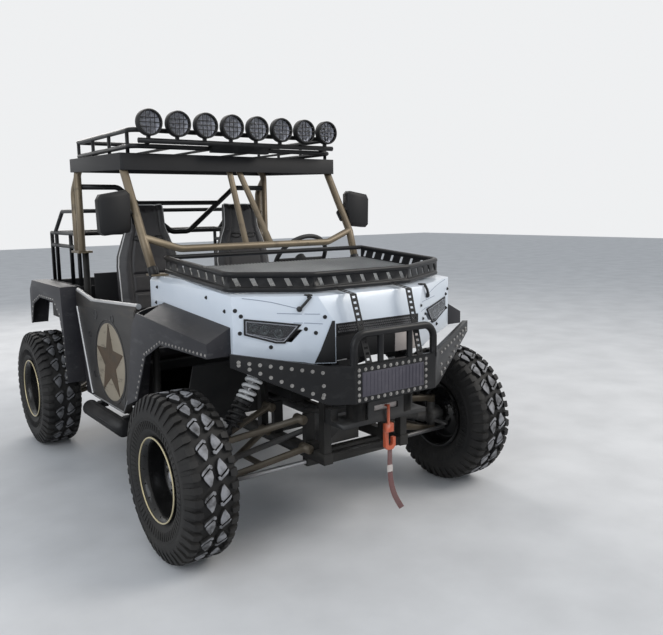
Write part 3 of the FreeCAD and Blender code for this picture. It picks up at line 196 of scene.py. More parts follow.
area_lamp("key", (4.5, -5.0, 6.0), 0.8, 4.0, 330, (1.0, 0.96, 0.9))
area_lamp("fill", (-6.0, -3.5, 4.0), 0.8, 5.0, 170, (0.9, 0.95, 1.0))
area_lamp("rear", (1.0, 6.0, 5.0), 0.9, 4.0, 230, (1.0, 0.97, 0.93))
floor_mesh = bpy.data.meshes.new("floor")
floor_mesh.from_pydata([(x * FLOOR_HALF, y * FLOOR_HALF, 0) for x, y in ((-1, -1), (1, -1), (1, 1), (-1, 1))],
                       [], [(0, 1, 2, 3)])
put("floor", floor_mesh)
print("floor", 2 * FLOOR_HALF, "m wide")

# %% [markdown]
# ## Effects that many finishes share
# Paint, steel and rubber all gather dust where they face up, and all vary a little in tone. Each effect is
# built once as a shader node group with named sockets, and every material places it with its own values.

# %% Node groups for tone and scuffs


def make_tone_group():
    """A slow mottled tone between 0 and 1, for colour that isn't quite even."""
    tree, ends = start_group("tone", "ShaderNodeTree", [("Scale", "Float", 3.0)], [("Tone", "Float")])
    grow(tree, {
        "where": ("ShaderNodeTexCoord", {}),
        "noise": ("ShaderNodeTexNoise", {"Detail": 5.0}),
        "ramp": ("ShaderNodeMapRange", {"From Min": 0.32, "From Max": 0.68}),
    }, "where.Object > noise.Vector, in.Scale > noise.Scale, noise.Fac > ramp.Value, ramp.Result > out.Tone", ends)
    return tree


def make_scuff_group():
    """Thin broken scratches: noise stretched along the vehicle and cut off high."""
    tree, ends = start_group("scuff", "ShaderNodeTree", [("Scale", "Float", 14.0), ("Amount", "Float", 0.4)],
                             [("Mask", "Float")])
    grow(tree, {
        "where": ("ShaderNodeTexCoord", {}),
        "stretch": ("ShaderNodeMapping", {"Scale": (1.0, 0.35, 1.6)}),
        "noise": ("ShaderNodeTexNoise", {"Detail": 8.0, "Roughness": 0.7}),
        "cut": ("ShaderNodeMapRange", {"From Min": 0.54, "From Max": 0.66}),
        "gain": ("ShaderNodeMath", {"operation": "MULTIPLY"}),
    }, "where.Object > stretch.Vector, stretch.Vector > noise.Vector, in.Scale > noise.Scale, "
       "noise.Fac > cut.Value, cut.Result > gain.0, in.Amount > gain.1, gain.0 > out.Mask", ends)
    return tree


TONE, SCUFF = make_tone_group(), make_scuff_group()
print("shared groups:", TONE.name, SCUFF.name)

# %% [markdown]
# Dust lies on faces that look up, and mud splashes reach up from the ground. The group adds the two, the
# second fading with height, and breaks them up with noise so that the edge of the dust is patchy.

# %% Node group for dust


def make_dust_group():
    """A mask that is strong where a surface faces up and near the ground, broken up by noise."""
    tree, ends = start_group("dust", "ShaderNodeTree", [("Amount", "Float", 0.3), ("Scale", "Float", 9.0),
                                                        ("Splash", "Float", 0.3)], [("Mask", "Float")])
    grow(tree, {
        "where": ("ShaderNodeTexCoord", {}),
        "shape": ("ShaderNodeNewGeometry", {}),
        "noise": ("ShaderNodeTexNoise", {"Detail": 6.0, "Roughness": 0.65}),
        "facing": ("ShaderNodeSeparateXYZ", {}),
        "height": ("ShaderNodeSeparateXYZ", {}),
        "upward": ("ShaderNodeMapRange", {"From Min": 0.2, "From Max": 1.0}),
        "low": ("ShaderNodeMapRange", {"From Min": 0.9, "From Max": 0.1}),
        "patches": ("ShaderNodeMapRange", {"From Min": 0.35, "From Max": 0.7}),
        "splash": ("ShaderNodeMath", {"operation": "MULTIPLY"}),
        "total": ("ShaderNodeMath", {"operation": "MULTIPLY_ADD"}),
        "broken": ("ShaderNodeMath", {"operation": "MULTIPLY", "use_clamp": True}),
    }, "where.Object > noise.Vector, in.Scale > noise.Scale, shape.Normal > facing.Vector, facing.Z > upward.Value, "
       "where.Object > height.Vector, height.Z > low.Value, low.Result > splash.0, in.Splash > splash.1, "
       "upward.Result > total.0, in.Amount > total.1, splash.0 > total.2, noise.Fac > patches.Value, "
       "total.0 > broken.0, patches.Result > broken.1, broken.0 > out.Mask", ends)
    return tree


DUST = make_dust_group()
print("shared group:", DUST.name)

# %% [markdown]
# ## Finishes
# A finish is a base colour with a second tone, a scuff colour that shows where the coat is rubbed, and dust.
# Shaders stay in the material itself, where exporters can read them; only the masks come from the groups.
# Constants such as coat and sheen are typed on the shader's own sockets.

# %% One function that builds every painted, moulded or cast finish
TONE_SCALE, SCUFF_SCALE, DUST_SCALE = 2.6, 13.0, 8.0
DUSTY_ROUGHER, BUMP_HIGH, COAT_ROUGH = 0.35, 0.0008, 0.12


def two_tone(first, second):
    """A node that mixes two colours by a factor; its result is output 2."""
    return "ShaderNodeMix", {"data_type": "RGBA", 6: (*first, 1), 7: (*second, 1)}


def finish(name, colour, second, rough, metal=0.0, dust=0.25, splash=0.15, scuff=0.0, scuff_colour=(0.3, 0.3, 0.3),
           bump=0.1, grain=220.0, coat=0.0, dust_colour=(0.20, 0.185, 0.165), sheen=0.0, shine=0.5):
    """A material for one finish, with tone, scuffs, dust and a fine bump."""
    material = bpy.data.materials.new(name)
    material.use_nodes = True
    shader = material.node_tree.nodes["Principled BSDF"]
    grow(material.node_tree, {
        "tone": ("ShaderNodeGroup", {"node_tree": TONE, "Scale": TONE_SCALE}),
        "scuff": ("ShaderNodeGroup", {"node_tree": SCUFF, "Scale": SCUFF_SCALE, "Amount": scuff}),
        "dust": ("ShaderNodeGroup", {"node_tree": DUST, "Amount": dust, "Scale": DUST_SCALE, "Splash": splash}),
        "paint": two_tone(colour, second),
        "worn": two_tone(colour, scuff_colour),
        "dusty": two_tone(colour, dust_colour),
        "dull": ("ShaderNodeMapRange", {"To Min": rough, "To Max": min(1.0, rough + DUSTY_ROUGHER)}),
        "where": ("ShaderNodeTexCoord", {}),
        "noise": ("ShaderNodeTexNoise", {"Scale": grain, "Detail": 3.0}),
        "rise": ("ShaderNodeBump", {"Strength": bump, "Distance": BUMP_HIGH}),
    }, "tone.Tone > paint.Factor, paint.2 > worn.6, scuff.Mask > worn.Factor, worn.2 > dusty.6, "
       "dust.Mask > dusty.Factor, dusty.2 > shader.Base Color, dust.Mask > dull.Value, dull.Result > shader.Roughness, "
       "where.Object > noise.Vector, noise.Fac > rise.Height, rise.Normal > shader.Normal", {"shader": shader})
    for label, value in (("Metallic", metal), ("Coat Weight", coat), ("Coat Roughness", COAT_ROUGH),
                         ("Sheen Weight", sheen), ("Specular IOR Level", shine)):
        shader.inputs[label].default_value = value
    return material


print("finish function ready")

# %% [markdown]
# Every plain finish is a row of a table: its colour, its second tone, its roughness, and what makes it
# special. Blacks are never zero, and pale colours stay below white, so that both keep their form in the light.

# %% Table of plain finishes
FINISHES = {
    "white_shell": ((0.62, 0.68, 0.76), (0.70, 0.75, 0.82), 0.28, dict(dust=0.12, splash=0.1, bump=0.03, coat=0.6)),
    "grey_sheet": ((0.018, 0.018, 0.022), (0.031, 0.030, 0.035), 0.45,
                   dict(dust=0.14, scuff=0.1, bump=0.25, shine=0.3)),
    "black_tube": ((0.007, 0.007, 0.008), (0.014, 0.014, 0.015), 0.36,
                   dict(dust=0.10, splash=0.05, scuff=0.10, scuff_colour=(0.10, 0.10, 0.10), bump=0.12, shine=0.25)),
    "winch_black": ((0.012, 0.012, 0.013), (0.03, 0.03, 0.03), 0.4, dict(dust=0.2, shine=0.3)),
    "tan_tube": ((0.12, 0.090, 0.058), (0.22, 0.175, 0.115), 0.42,
                 dict(metal=0.35, scuff=0.5, scuff_colour=(0.05, 0.04, 0.03), bump=0.15)),
    "frame_steel": ((0.008, 0.008, 0.008), (0.016, 0.015, 0.014), 0.5, dict(dust=0.2, bump=0.2, shine=0.25)),
    "door_steel": ((0.015, 0.015, 0.016), (0.034, 0.031, 0.029), 0.45,
                   dict(metal=0.2, dust=0.18, scuff=0.35, scuff_colour=(0.10, 0.08, 0.06), bump=0.2)),
    "black_plastic": ((0.007, 0.007, 0.008), (0.014, 0.014, 0.015), 0.55, dict(dust=0.12, bump=0.35, shine=0.3)),
    "roof_plastic": ((0.007, 0.007, 0.008), (0.014, 0.014, 0.016), 0.5, dict(dust=0.14, bump=0.3, shine=0.3)),
    "arm_gold": ((0.055, 0.043, 0.028), (0.11, 0.088, 0.060), 0.45,
                 dict(metal=0.3, dust=0.35, splash=0.3, scuff=0.3, scuff_colour=(0.06, 0.05, 0.04))),
    "rim_black": ((0.004, 0.004, 0.0045), (0.008, 0.008, 0.008), 0.2,
                  dict(dust=0.04, splash=0.03, bump=0.05, coat=0.15, shine=0.3)),
    "cast_metal": ((0.06, 0.06, 0.062), (0.11, 0.11, 0.11), 0.55, dict(metal=0.6, dust=0.4, splash=0.5, bump=0.5)),
    "plain_steel": ((0.30, 0.30, 0.31), (0.42, 0.42, 0.43), 0.35, dict(metal=0.9, dust=0.3, splash=0.4)),
    "spring_white": ((0.62, 0.62, 0.62), (0.72, 0.72, 0.72), 0.35, dict(dust=0.2, splash=0.3, bump=0.05)),
    "hook_red": ((0.42, 0.07, 0.03), (0.55, 0.12, 0.05), 0.4,
                 dict(dust=0.2, scuff=0.4, scuff_colour=(0.25, 0.2, 0.18))),
    "wheel_grip": ((0.014, 0.014, 0.014), (0.025, 0.025, 0.025), 0.6, dict(dust=0.1, splash=0.0, bump=0.4)),
    "red_lens": ((0.30, 0.006, 0.006), (0.42, 0.012, 0.010), 0.12, dict(dust=0.1, bump=0.02, coat=0.8)),
    "bolt_dark": ((0.012, 0.012, 0.013), (0.03, 0.03, 0.03), 0.35, dict(metal=0.5, dust=0.1, splash=0.1)),
    "rivet_pale": ((0.28, 0.27, 0.26), (0.42, 0.41, 0.39), 0.35, dict(metal=0.8, dust=0.1, splash=0.1)),
    "pale_edge": ((0.35, 0.35, 0.36), (0.5, 0.5, 0.5), 0.35, dict(metal=0.6, dust=0.1, splash=0.1)),
    "gold_ring": ((0.56, 0.47, 0.27), (0.68, 0.59, 0.38), 0.3, dict(metal=0.4, dust=0.05, splash=0.05)),
    "star_brown": ((0.060, 0.040, 0.022), (0.095, 0.058, 0.030), 0.55,
                   dict(metal=0.3, dust=0.2, scuff=0.6, scuff_colour=(0.035, 0.035, 0.025), bump=0.3)),
    "disc_tan": ((0.26, 0.22, 0.16), (0.36, 0.31, 0.24), 0.55,
                 dict(metal=0.2, dust=0.2, scuff=0.9, scuff_colour=(0.07, 0.06, 0.045), bump=0.3)),
    "lens_dark": ((0.030, 0.036, 0.034), (0.060, 0.070, 0.066), 0.12, dict(metal=0.6, dust=0.0, splash=0.0, bump=0.0)),
    "mirror_face": ((0.75, 0.77, 0.8), (0.8, 0.82, 0.85), 0.03, dict(metal=1.0, dust=0.05, splash=0.0, bump=0.0)),
    "chrome_bowl": ((0.42, 0.42, 0.44), (0.52, 0.52, 0.54), 0.28, dict(metal=0.9, dust=0.0, splash=0.0, bump=0.0)),
    "seat_piping": ((0.55, 0.54, 0.53), (0.68, 0.67, 0.66), 0.5, dict(dust=0.2)),
    "strap_band": ((0.45, 0.40, 0.38), (0.58, 0.53, 0.50), 0.7, dict(dust=0.3, bump=0.4)),
    "fine_mesh": ((0.28, 0.28, 0.28), (0.42, 0.42, 0.41), 0.40, dict(metal=0.4, dust=0.15)),
    "gauge_face": ((0.06, 0.08, 0.10), (0.10, 0.13, 0.16), 0.15, dict(dust=0.1, bump=0.0, coat=0.6)),
    "seam_blue": ((0.22, 0.26, 0.33), (0.28, 0.32, 0.40), 0.5, dict(dust=0.1, splash=0.0, bump=0.0)),
    "plate_grey": ((0.055, 0.052, 0.070), (0.085, 0.080, 0.10), 0.45,
                   dict(metal=0.4, scuff=0.3, scuff_colour=(0.14, 0.13, 0.15), bump=0.2)),
}
MATERIALS = {name: finish(name, colour, second, rough, **more)
             for name, (colour, second, rough, more) in FINISHES.items()}
floor_mesh.materials.append(finish("floor_pale", (0.56, 0.56, 0.57), (0.64, 0.64, 0.65), 0.8, dust=0.0, splash=0.0,
                                   bump=0.25, grain=60.0))
print(len(MATERIALS), "plain finishes")

# %% [markdown]
# ## Shaping helpers
# Most added pieces are one of four forms: a bar along a path, a turned profile, a plate with an outline,
# or a block. Each helper returns points and faces, and the same skin of faces joins their rings of points.

# %% Rings, bars and turned forms


def turns(count):
    """Evenly spaced angles of a full turn."""
    return [2 * math.pi * k / count for k in range(count)]


def strip(low, high, count):
    """Faces between two rings of points, given the first number of each."""
    return [(low + i, low + (i + 1) % count, high + (i + 1) % count, high + i) for i in range(count)]


def skin(count, rings, closed=False):
    """Faces along several rings of points; an open skin gets a cap at both ends."""
    faces = []
    for ring in range(rings if closed else rings - 1):
        faces += strip(ring * count, (ring + 1) % rings * count, count)
    if not closed:
        faces += [tuple(reversed(range(count))), tuple(range((rings - 1) * count, rings * count))]
    return faces


def bar(path, radius, sides=12, closed=False):
    """A round bar along points, with its ring carried along so that it doesn't twist."""
    path = [Vector(p) for p in path]
    count = len(path)
    points, normal = [], None
    for index, here in enumerate(path):
        if closed:
            ahead = path[(index + 1) % count] - path[index - 1]
        else:
            ahead = path[min(index + 1, count - 1)] - path[max(index - 1, 0)]
        ahead.normalize()
        if normal is None:
            normal = ahead.orthogonal().normalized()
        normal = (normal - ahead * normal.dot(ahead)).normalized()
        side = ahead.cross(normal)
        points += [here + (normal * math.cos(turn) + side * math.sin(turn)) * radius for turn in turns(sides)]
    return points, skin(sides, count, closed)


def turned(profile, centre, axis, sides=64, closed=False):
    """Turn a profile of (distance along the axis, radius) pairs about an axis through a centre."""
    axis = Vector(axis).normalized()
    first = axis.orthogonal().normalized()
    second = axis.cross(first)
    points = [Vector(centre) + axis * along + (first * math.cos(turn) + second * math.sin(turn)) * radius
              for along, radius in profile for turn in turns(sides)]
    rings = len(profile)
    faces = [face for ring in range(rings if closed else rings - 1)
             for face in strip(ring * sides, (ring + 1) % rings * sides, sides)]
    return points, faces


def round_section(along, radius, thick, count):
    """A small circle in a turned profile, which turns into a ring like a tyre's."""
    return [(along + thick * math.cos(a), radius + thick * math.sin(a)) for a in turns(count)]


print("a bar of two points has", len(bar([(0, 0, 0), (0, 0, 1)], 0.01)[1]), "faces")

# %% [markdown]
# Plates and blocks are outlines pushed along a vector. The vehicle is the same on both sides, so most parts
# are made once and mirrored; their faces are turned round in the copy, so that they still point outwards.

# %% Plates, blocks and mirror images


def plate(outline, push):
    """A flat outline of points pushed along a vector."""
    outline, push = [Vector(p) for p in outline], Vector(push)
    count = len(outline)
    caps = [tuple(reversed(range(count))), tuple(range(count, 2 * count))]
    return outline + [p + push for p in outline], caps + strip(0, count, count)


def ring_plate(outer, inner, push):
    """A flat frame between two outlines with as many points, pushed along a vector."""
    outer, inner, push = [Vector(p) for p in outer], [Vector(p) for p in inner], Vector(push)
    count = len(outer)
    points = outer + inner + [p + push for p in outer] + [p + push for p in inner]
    faces = []
    for i in range(count):
        j = (i + 1) % count
        faces += [(i, j, count + j, count + i), (2 * count + i, 2 * count + j, 3 * count + j, 3 * count + i),
                  (i, j, 2 * count + j, 2 * count + i), (count + i, count + j, 3 * count + j, 3 * count + i)]
    return points, faces


def block(low, high):
    """A box between two corners."""
    (x0, y0, z0), (x1, y1, z1) = low, high
    return plate([(x0, y0, z0), (x1, y0, z0), (x1, y1, z0), (x0, y1, z0)], (0, 0, z1 - z0))


def flip(place):
    """A point or direction on the other side of the vehicle."""
    return Vector((-place[0], place[1], place[2]))


def mirrored(parts):
    """Each part followed by its mirror image."""
    return [shape for points, faces in parts
            for shape in ((points, faces), ([flip(p) for p in points], [tuple(reversed(f)) for f in faces]))]


print("a block has", len(block((0, 0, 0), (1, 1, 1))[1]), "faces")

# %% [markdown]
# One function joins parts to a mesh: it merges double points, turns every face outwards and eases the edges.
# Another links the mesh as a piece, sets it on the empty of the body that carries it, and hides the solid it replaces.

# %% Turn points and faces into a finished piece
MERGE, BEVEL_FROM, BEVEL_STEPS, BEVEL_FULL = 1e-6, 25, 2, 0.6


def shade(mesh, smooth=40.0):
    """Smooth shading, with edges sharper than an angle left crisp."""
    mesh.polygons.foreach_set("use_smooth", [True] * len(mesh.polygons))
    mesh.set_sharp_from_angle(angle=math.radians(smooth))


def ease_edges(shape, width, from_angle):
    """Bevel the edges of a bmesh that are sharper than an angle."""
    sharp = [e for e in shape.edges if len(e.link_faces) == 2 and e.calc_face_angle(0) > math.radians(from_angle)]
    bmesh.ops.bevel(shape, geom=sharp, offset=width, segments=BEVEL_STEPS, profile=BEVEL_FULL, affect="EDGES",
                    clamp_overlap=True)


def mesh_from(name, shape, smooth):
    """A shaded mesh from a bmesh, which is freed."""
    mesh = bpy.data.meshes.new(name)
    shape.to_mesh(mesh)
    shape.free()
    shade(mesh, smooth)
    return mesh


def mesh_of(name, parts, bevel=0.0, smooth=40.0):
    """Join parts to one mesh with outward faces, eased edges and smooth shading below an angle."""
    shape = bmesh.new()
    for points, faces in parts:
        made = [shape.verts.new(p) for p in points]
        for face in faces:
            shape.faces.new([made[i] for i in face])
    bmesh.ops.remove_doubles(shape, verts=shape.verts, dist=MERGE)
    bmesh.ops.recalc_face_normals(shape, faces=shape.faces)
    if bevel:
        ease_edges(shape, bevel, BEVEL_FROM)
    return mesh_from(name, shape, smooth)


def in_finish(parts, material, bevel=0.0, smooth=40.0):
    """A mesh of some parts with a finish on it."""
    mesh = mesh_of(material, parts, bevel, smooth)
    mesh.materials.append(MATERIALS[material])
    return mesh


def piece(name, meshes, body="body", replaces=()):
    """Link meshes as one piece that rides on a body and hides the solids it replaces."""
    mesh = joined(name, meshes) if len(meshes) > 1 else meshes[0]
    mesh.name = name
    made = put(name, mesh)
    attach(made, body)
    if replaces:
        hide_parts(*replaces)
    return made


def result_of(thing):
    """The plain mesh that an object's modifiers make of it."""
    bpy.context.view_layer.update()
    return bpy.data.meshes.new_from_object(thing.evaluated_get(bpy.context.evaluated_depsgraph_get()))


def joined(name, meshes):
    """Several finished meshes as one, each face keeping its own material."""
    shape = bmesh.new()
    materials = []
    for mesh in meshes:
        before = len(shape.faces)
        shape.from_mesh(mesh)
        shape.faces.ensure_lookup_table()
        for face in shape.faces[before:]:
            own = mesh.materials[face.material_index] if mesh.materials else None
            if own not in materials:
                materials.append(own)
            face.material_index = materials.index(own)
    out = mesh_from(name, shape, 40)
    for material in materials:
        out.materials.append(material)
    return out


print("piece helpers ready")

# %% [markdown]
# ## Geometry Nodes for what repeats
# Lugs, bolts and bars repeat by a rule, so one small tree makes them all: it takes a shape and sets
# numbered copies of it, each turned and moved one step more than the last. The result is realized and
# painted inside the tree, and read back as a plain mesh.

# %% A tree that makes turned and shifted copies


def make_copies_tree():
    """Count copies, each turned by Turn about Pivot and moved by Step from the one before."""
    tree, ends = start_group("copies", "GeometryNodeTree", [
        ("Geometry", "Geometry"), ("Count", "Int"), ("Turn", "Vector"), ("Step", "Vector"), ("Pivot", "Vector"),
        ("Material", "Material")], [("Geometry", "Geometry")])
    grow(tree, {
        "centre": ("ShaderNodeVectorMath", {"operation": "SCALE", "Scale": -1.0}),
        "away": ("GeometryNodeTransform", {}),
        "points": ("GeometryNodePoints", {}),
        "index": ("GeometryNodeInputIndex", {}),
        "shift": ("ShaderNodeVectorMath", {"operation": "SCALE"}),
        "turn": ("ShaderNodeVectorMath", {"operation": "SCALE"}),
        "place": ("ShaderNodeVectorMath", {"operation": "ADD"}),
        "instances": ("GeometryNodeInstanceOnPoints", {}),
        "real": ("GeometryNodeRealizeInstances", {}),
        "paint": ("GeometryNodeSetMaterial", {}),
    }, "in.Pivot > centre.0, in.Geometry > away.Geometry, centre.0 > away.Translation, in.Count > points.Count, "
       "in.Step > shift.0, index.0 > shift.Scale, in.Pivot > place.0, shift.0 > place.1, place.0 > points.Position, "
       "in.Turn > turn.0, index.0 > turn.Scale, points.Points > instances.Points, away.Geometry > instances.Instance, "
       "turn.0 > instances.Rotation, instances.0 > real.0, real.0 > paint.Geometry, in.Material > paint.Material, "
       "paint.0 > out.0", ends)
    return tree


def run_tree(tree, mesh, material, smooth, **values):
    """Run a tree on a mesh with its inputs set by socket identifier, and return the result as a plain mesh."""
    holder = put(mesh.name, mesh)
    modifier = holder.modifiers.new("tree", "NODES")
    modifier.node_group = tree
    values["Material"] = MATERIALS[material]
    for item in tree.interface.items_tree:
        if item.in_out == "INPUT" and item.name in values:
            modifier[item.identifier] = values[item.name]
    made = result_of(holder)
    holder.modifiers.remove(modifier)
    bpy.data.objects.remove(holder)
    made.name = mesh.name
    shade(made, smooth)
    return made


def copies(parts, count, material, turn=(0, 0, 0), step=(0, 0, 0), pivot=(0, 0, 0), bevel=0.0, smooth=40.0):
    """Numbered copies of some parts as one mesh."""
    return run_tree(COPIES, mesh_of(material, parts, bevel, smooth), material, smooth, Count=count, Turn=tuple(turn),
                    Step=tuple(step), Pivot=tuple(pivot))


COPIES = make_copies_tree()
print("tree:", COPIES.name)

# %% [markdown]
# Rivets and bolts follow no single rule, so a second tree sets a headed stud on each point of a mesh,
# standing along the direction stored with that point. A stud is a tapered head on a thin washer.

# %% A tree that sets a stud on every point
HEAD_TAPER, WASHER_WIDE, WASHER_THIN, WASHER_SIDES = 0.72, 1.35, 0.3, 12


def make_studs_tree():
    """A headed stud on each point, standing along the point's aim; Sides of 6 make a hexagon bolt."""
    tree, ends = start_group("studs", "GeometryNodeTree", [
        ("Geometry", "Geometry"), ("Radius", "Float"), ("Height", "Float"), ("Sides", "Int"),
        ("Material", "Material")], [("Geometry", "Geometry")])
    grow(tree, {
        "points": ("GeometryNodeMeshToPoints", {}),
        "aim": ("GeometryNodeInputNamedAttribute", {"data_type": "FLOAT_VECTOR", "Name": "aim"}),
        "align": ("FunctionNodeAlignRotationToVector", {"axis": "Z"}),
        "head": ("GeometryNodeMeshCone", {}),
        "washer": ("GeometryNodeMeshCylinder", {"Vertices": WASHER_SIDES}),
        "top": ("ShaderNodeMath", {"operation": "MULTIPLY", 1: HEAD_TAPER}),
        "wide": ("ShaderNodeMath", {"operation": "MULTIPLY", 1: WASHER_WIDE}),
        "thin": ("ShaderNodeMath", {"operation": "MULTIPLY", 1: WASHER_THIN}),
        "join": ("GeometryNodeJoinGeometry", {}),
        "instances": ("GeometryNodeInstanceOnPoints", {}),
        "real": ("GeometryNodeRealizeInstances", {}),
        "paint": ("GeometryNodeSetMaterial", {}),
    }, "in.Geometry > points.Mesh, aim.Attribute > align.Vector, in.Sides > head.Vertices, in.Radius > top.0, "
       "in.Radius > wide.0, in.Height > thin.0, top.0 > head.Radius Top, in.Radius > head.Radius Bottom, "
       "in.Height > head.Depth, wide.0 > washer.Radius, thin.0 > washer.Depth, head.Mesh > join.0, "
       "washer.Mesh > join.0, points.Points > instances.Points, join.0 > instances.Instance, "
       "align.Rotation > instances.Rotation, instances.0 > real.0, real.0 > paint.Geometry, "
       "in.Material > paint.Material, paint.0 > out.0", ends)
    return tree


def studs(places, radius, height, sides, material):
    """Studs at (point, direction) pairs as one mesh."""
    mesh = bpy.data.meshes.new(material)
    mesh.from_pydata([place for place, aim in places], [], [])
    attribute = mesh.attributes.new("aim", "FLOAT_VECTOR", "POINT")
    attribute.data.foreach_set("vector", [value for place, aim in places for value in Vector(aim).normalized()])
    return run_tree(STUDS, mesh, material, 35, Radius=radius, Height=height, Sides=sides)


def both_sides(places):
    """(Point, direction) pairs, and the same ones on the other side after them."""
    return places + [(flip(place), flip(aim)) for place, aim in places]


STUDS = make_studs_tree()
print("tree:", STUDS.name)

# %% [markdown]
# ## Finishes with a pattern of their own
# Tyre tops are pale, partly from road dust and partly as a painted highlight, while the grooves stay black, so the
# rubber reads a point attribute for that mark that the lugs carry. The lens is real glass with a little dust, over a
# bright bowl.

# %% Rubber and lamp glass


def rubber():
    """Black rubber with a brownish bloom, and pale lug tops that are partly dust and partly a painted highlight."""
    made = finish("tyre", (0.008, 0.008, 0.009), (0.017, 0.016, 0.015), 0.62, dust=0.06, splash=0.08, bump=0.3,
                  shine=0.3)
    shader = made.node_tree.nodes["Principled BSDF"]
    painted = shader.inputs["Base Color"].links[0].from_node
    grow(made.node_tree, {
        "wear": ("ShaderNodeAttribute", {"attribute_name": "wear"}),
        "where": ("ShaderNodeTexCoord", {}),
        "noise": ("ShaderNodeTexNoise", {"Scale": 26.0, "Detail": 6.0}),
        "broken": ("ShaderNodeMapRange", {"From Min": 0.25, "From Max": 0.6}),
        "mask": ("ShaderNodeMath", {"operation": "MULTIPLY"}),
        # The pale colour mixed onto the lug tops is partly dust and partly a painted highlight.
        "worn": two_tone((0, 0, 0), (0.27, 0.27, 0.285)),
    }, "where.Object > noise.Vector, noise.Fac > broken.Value, wear.Fac > mask.0, broken.Result > mask.1, "
       "mask.0 > worn.Factor, painted.2 > worn.6, worn.2 > shader.Base Color", {"shader": shader, "painted": painted})
    return made


def clear_lens():
    """Clear lamp glass with faint dust."""
    made = bpy.data.materials.new("lamp_glass")
    made.use_nodes = True
    shader = made.node_tree.nodes["Principled BSDF"]
    shader.inputs["Transmission Weight"].default_value = 1.0
    shader.inputs["IOR"].default_value = 1.45
    grow(made.node_tree, {
        "dust": ("ShaderNodeGroup", {"node_tree": DUST, "Amount": 0.2, "Scale": 12.0, "Splash": 0.1}),
        "dusty": two_tone((0.90, 0.92, 0.97), (0.60, 0.60, 0.60)),
        "haze": ("ShaderNodeMapRange", {"To Min": 0.04, "To Max": 0.4}),
    }, "dust.Mask > dusty.Factor, dusty.2 > shader.Base Color, dust.Mask > haze.Value, haze.Result > shader.Roughness",
        {"shader": shader})
    return made


MATERIALS["tyre"], MATERIALS["lamp_glass"] = rubber(), clear_lens()
print("rubber and glass ready")

# %% [markdown]
# Vinyl has a leather grain from small cells, with soft folds over it. The strap is a weave of two crossing
# waves. Both patterns are heights that a Bump node turns into shading, as they are too fine for geometry.

# %% Vinyl and webbing


def with_pattern(material, textures, join, strength, distance):
    """Combine two textures by a sum or a product and feed the height to the shader's normal."""
    grow(material.node_tree, {
        "where": ("ShaderNodeTexCoord", {}), **textures, "height": ("ShaderNodeMath", {"operation": join}),
        "rise": ("ShaderNodeBump", {"Strength": strength, "Distance": distance}),
    }, "where.Object > one.Vector, where.Object > two.Vector, one.0 > height.0, two.0 > height.1, "
       "height.0 > rise.Height, rise.Normal > shader.Normal", {"shader": material.node_tree.nodes["Principled BSDF"]})
    return material


MATERIALS["seat_vinyl"] = with_pattern(
    finish("seat_vinyl", (0.016, 0.015, 0.017), (0.030, 0.028, 0.030), 0.45, dust=0.15, splash=0.0, bump=0.0),
    {"one": ("ShaderNodeTexVoronoi", {"feature": "DISTANCE_TO_EDGE", "Scale": 420.0}),
     "two": ("ShaderNodeTexNoise", {"Scale": 9.0, "Detail": 3.0})}, "ADD", 0.35, 0.002)
MATERIALS["strap_web"] = with_pattern(
    finish("strap_web", (0.10, 0.028, 0.030), (0.20, 0.08, 0.075), 0.75, dust=0.35, splash=0.3, bump=0.0, sheen=0.3),
    {"one": ("ShaderNodeTexWave", {"bands_direction": "Z", "Scale": 190.0}),
     "two": ("ShaderNodeTexWave", {"bands_direction": "DIAGONAL", "Scale": 160.0})}, "MULTIPLY", 0.8, 0.0012)
print(len(MATERIALS), "finishes in all")

# %% [markdown]
# ## The winch strap
# A short flat strap is tied to the winch hook, and its end hangs free with a slow curl. It is
# a smooth line through a few points, and a flat ribbon that follows that line and turns a little on its way.

# %% The strap's line and ribbon
STRAP_WIDE, STRAP_THICK, STRAP_LENGTH, STRAP_TWIST = 0.026, 0.0035, 0.305, math.radians(28)
STRAP_ROUTE = [at(-0.450, 0.008, 0.4356), at(-0.450, 0.008, 0.385), at(-0.451, 0.007, 0.335),
               at(-0.453, 0.011, 0.283), at(-0.456, 0.022, 0.232), at(-0.460, 0.042, 0.184), at(-0.464, 0.068, 0.143)]
KEEPER_WIDE, KEEPER_THICK, KEEPER_TWIST, KEEPER_FROM, KEEPER_TO = 0.031, 0.008, math.radians(4), 0.20, 0.34
RIBBON_SECTION = [(-0.5, -0.25), (-0.42, -0.5), (0.42, -0.5), (0.5, -0.25), (0.5, 0.25), (0.42, 0.5), (-0.42, 0.5),
                  (-0.5, 0.25)]


def smooth_line(name, route):
    """Points along the NURBS spline whose control points are the route."""
    curve = bpy.data.curves.new(name, "CURVE")
    curve.dimensions = "3D"
    spline = curve.splines.new("NURBS")
    spline.points.add(len(route) - 1)
    for point, place in zip(spline.points, route):
        point.co = (*place, 1.0)
    spline.order_u = 3
    spline.use_endpoint_u = True
    curve.resolution_u = 12
    holder = put(name, curve)
    line = [v.co.copy() for v in result_of(holder).vertices]
    bpy.data.objects.remove(holder)
    return line


def ribbon(line, wide, thick, twist):
    """A flat strap with eased edges that follows a line and turns by twist from one end to the other."""
    points, count = [], len(line)
    for index, here in enumerate(line):
        ahead = (line[min(index + 1, count - 1)] - line[max(index - 1, 0)]).normalized()
        side = Matrix.Rotation(twist * index / (count - 1), 3, ahead) @ LEFT
        side = (side - ahead * side.dot(ahead)).normalized()
        normal = ahead.cross(side)
        points += [here + side * (u * wide) + normal * (v * thick) for u, v in RIBBON_SECTION]
    return points, skin(len(RIBBON_SECTION), count)


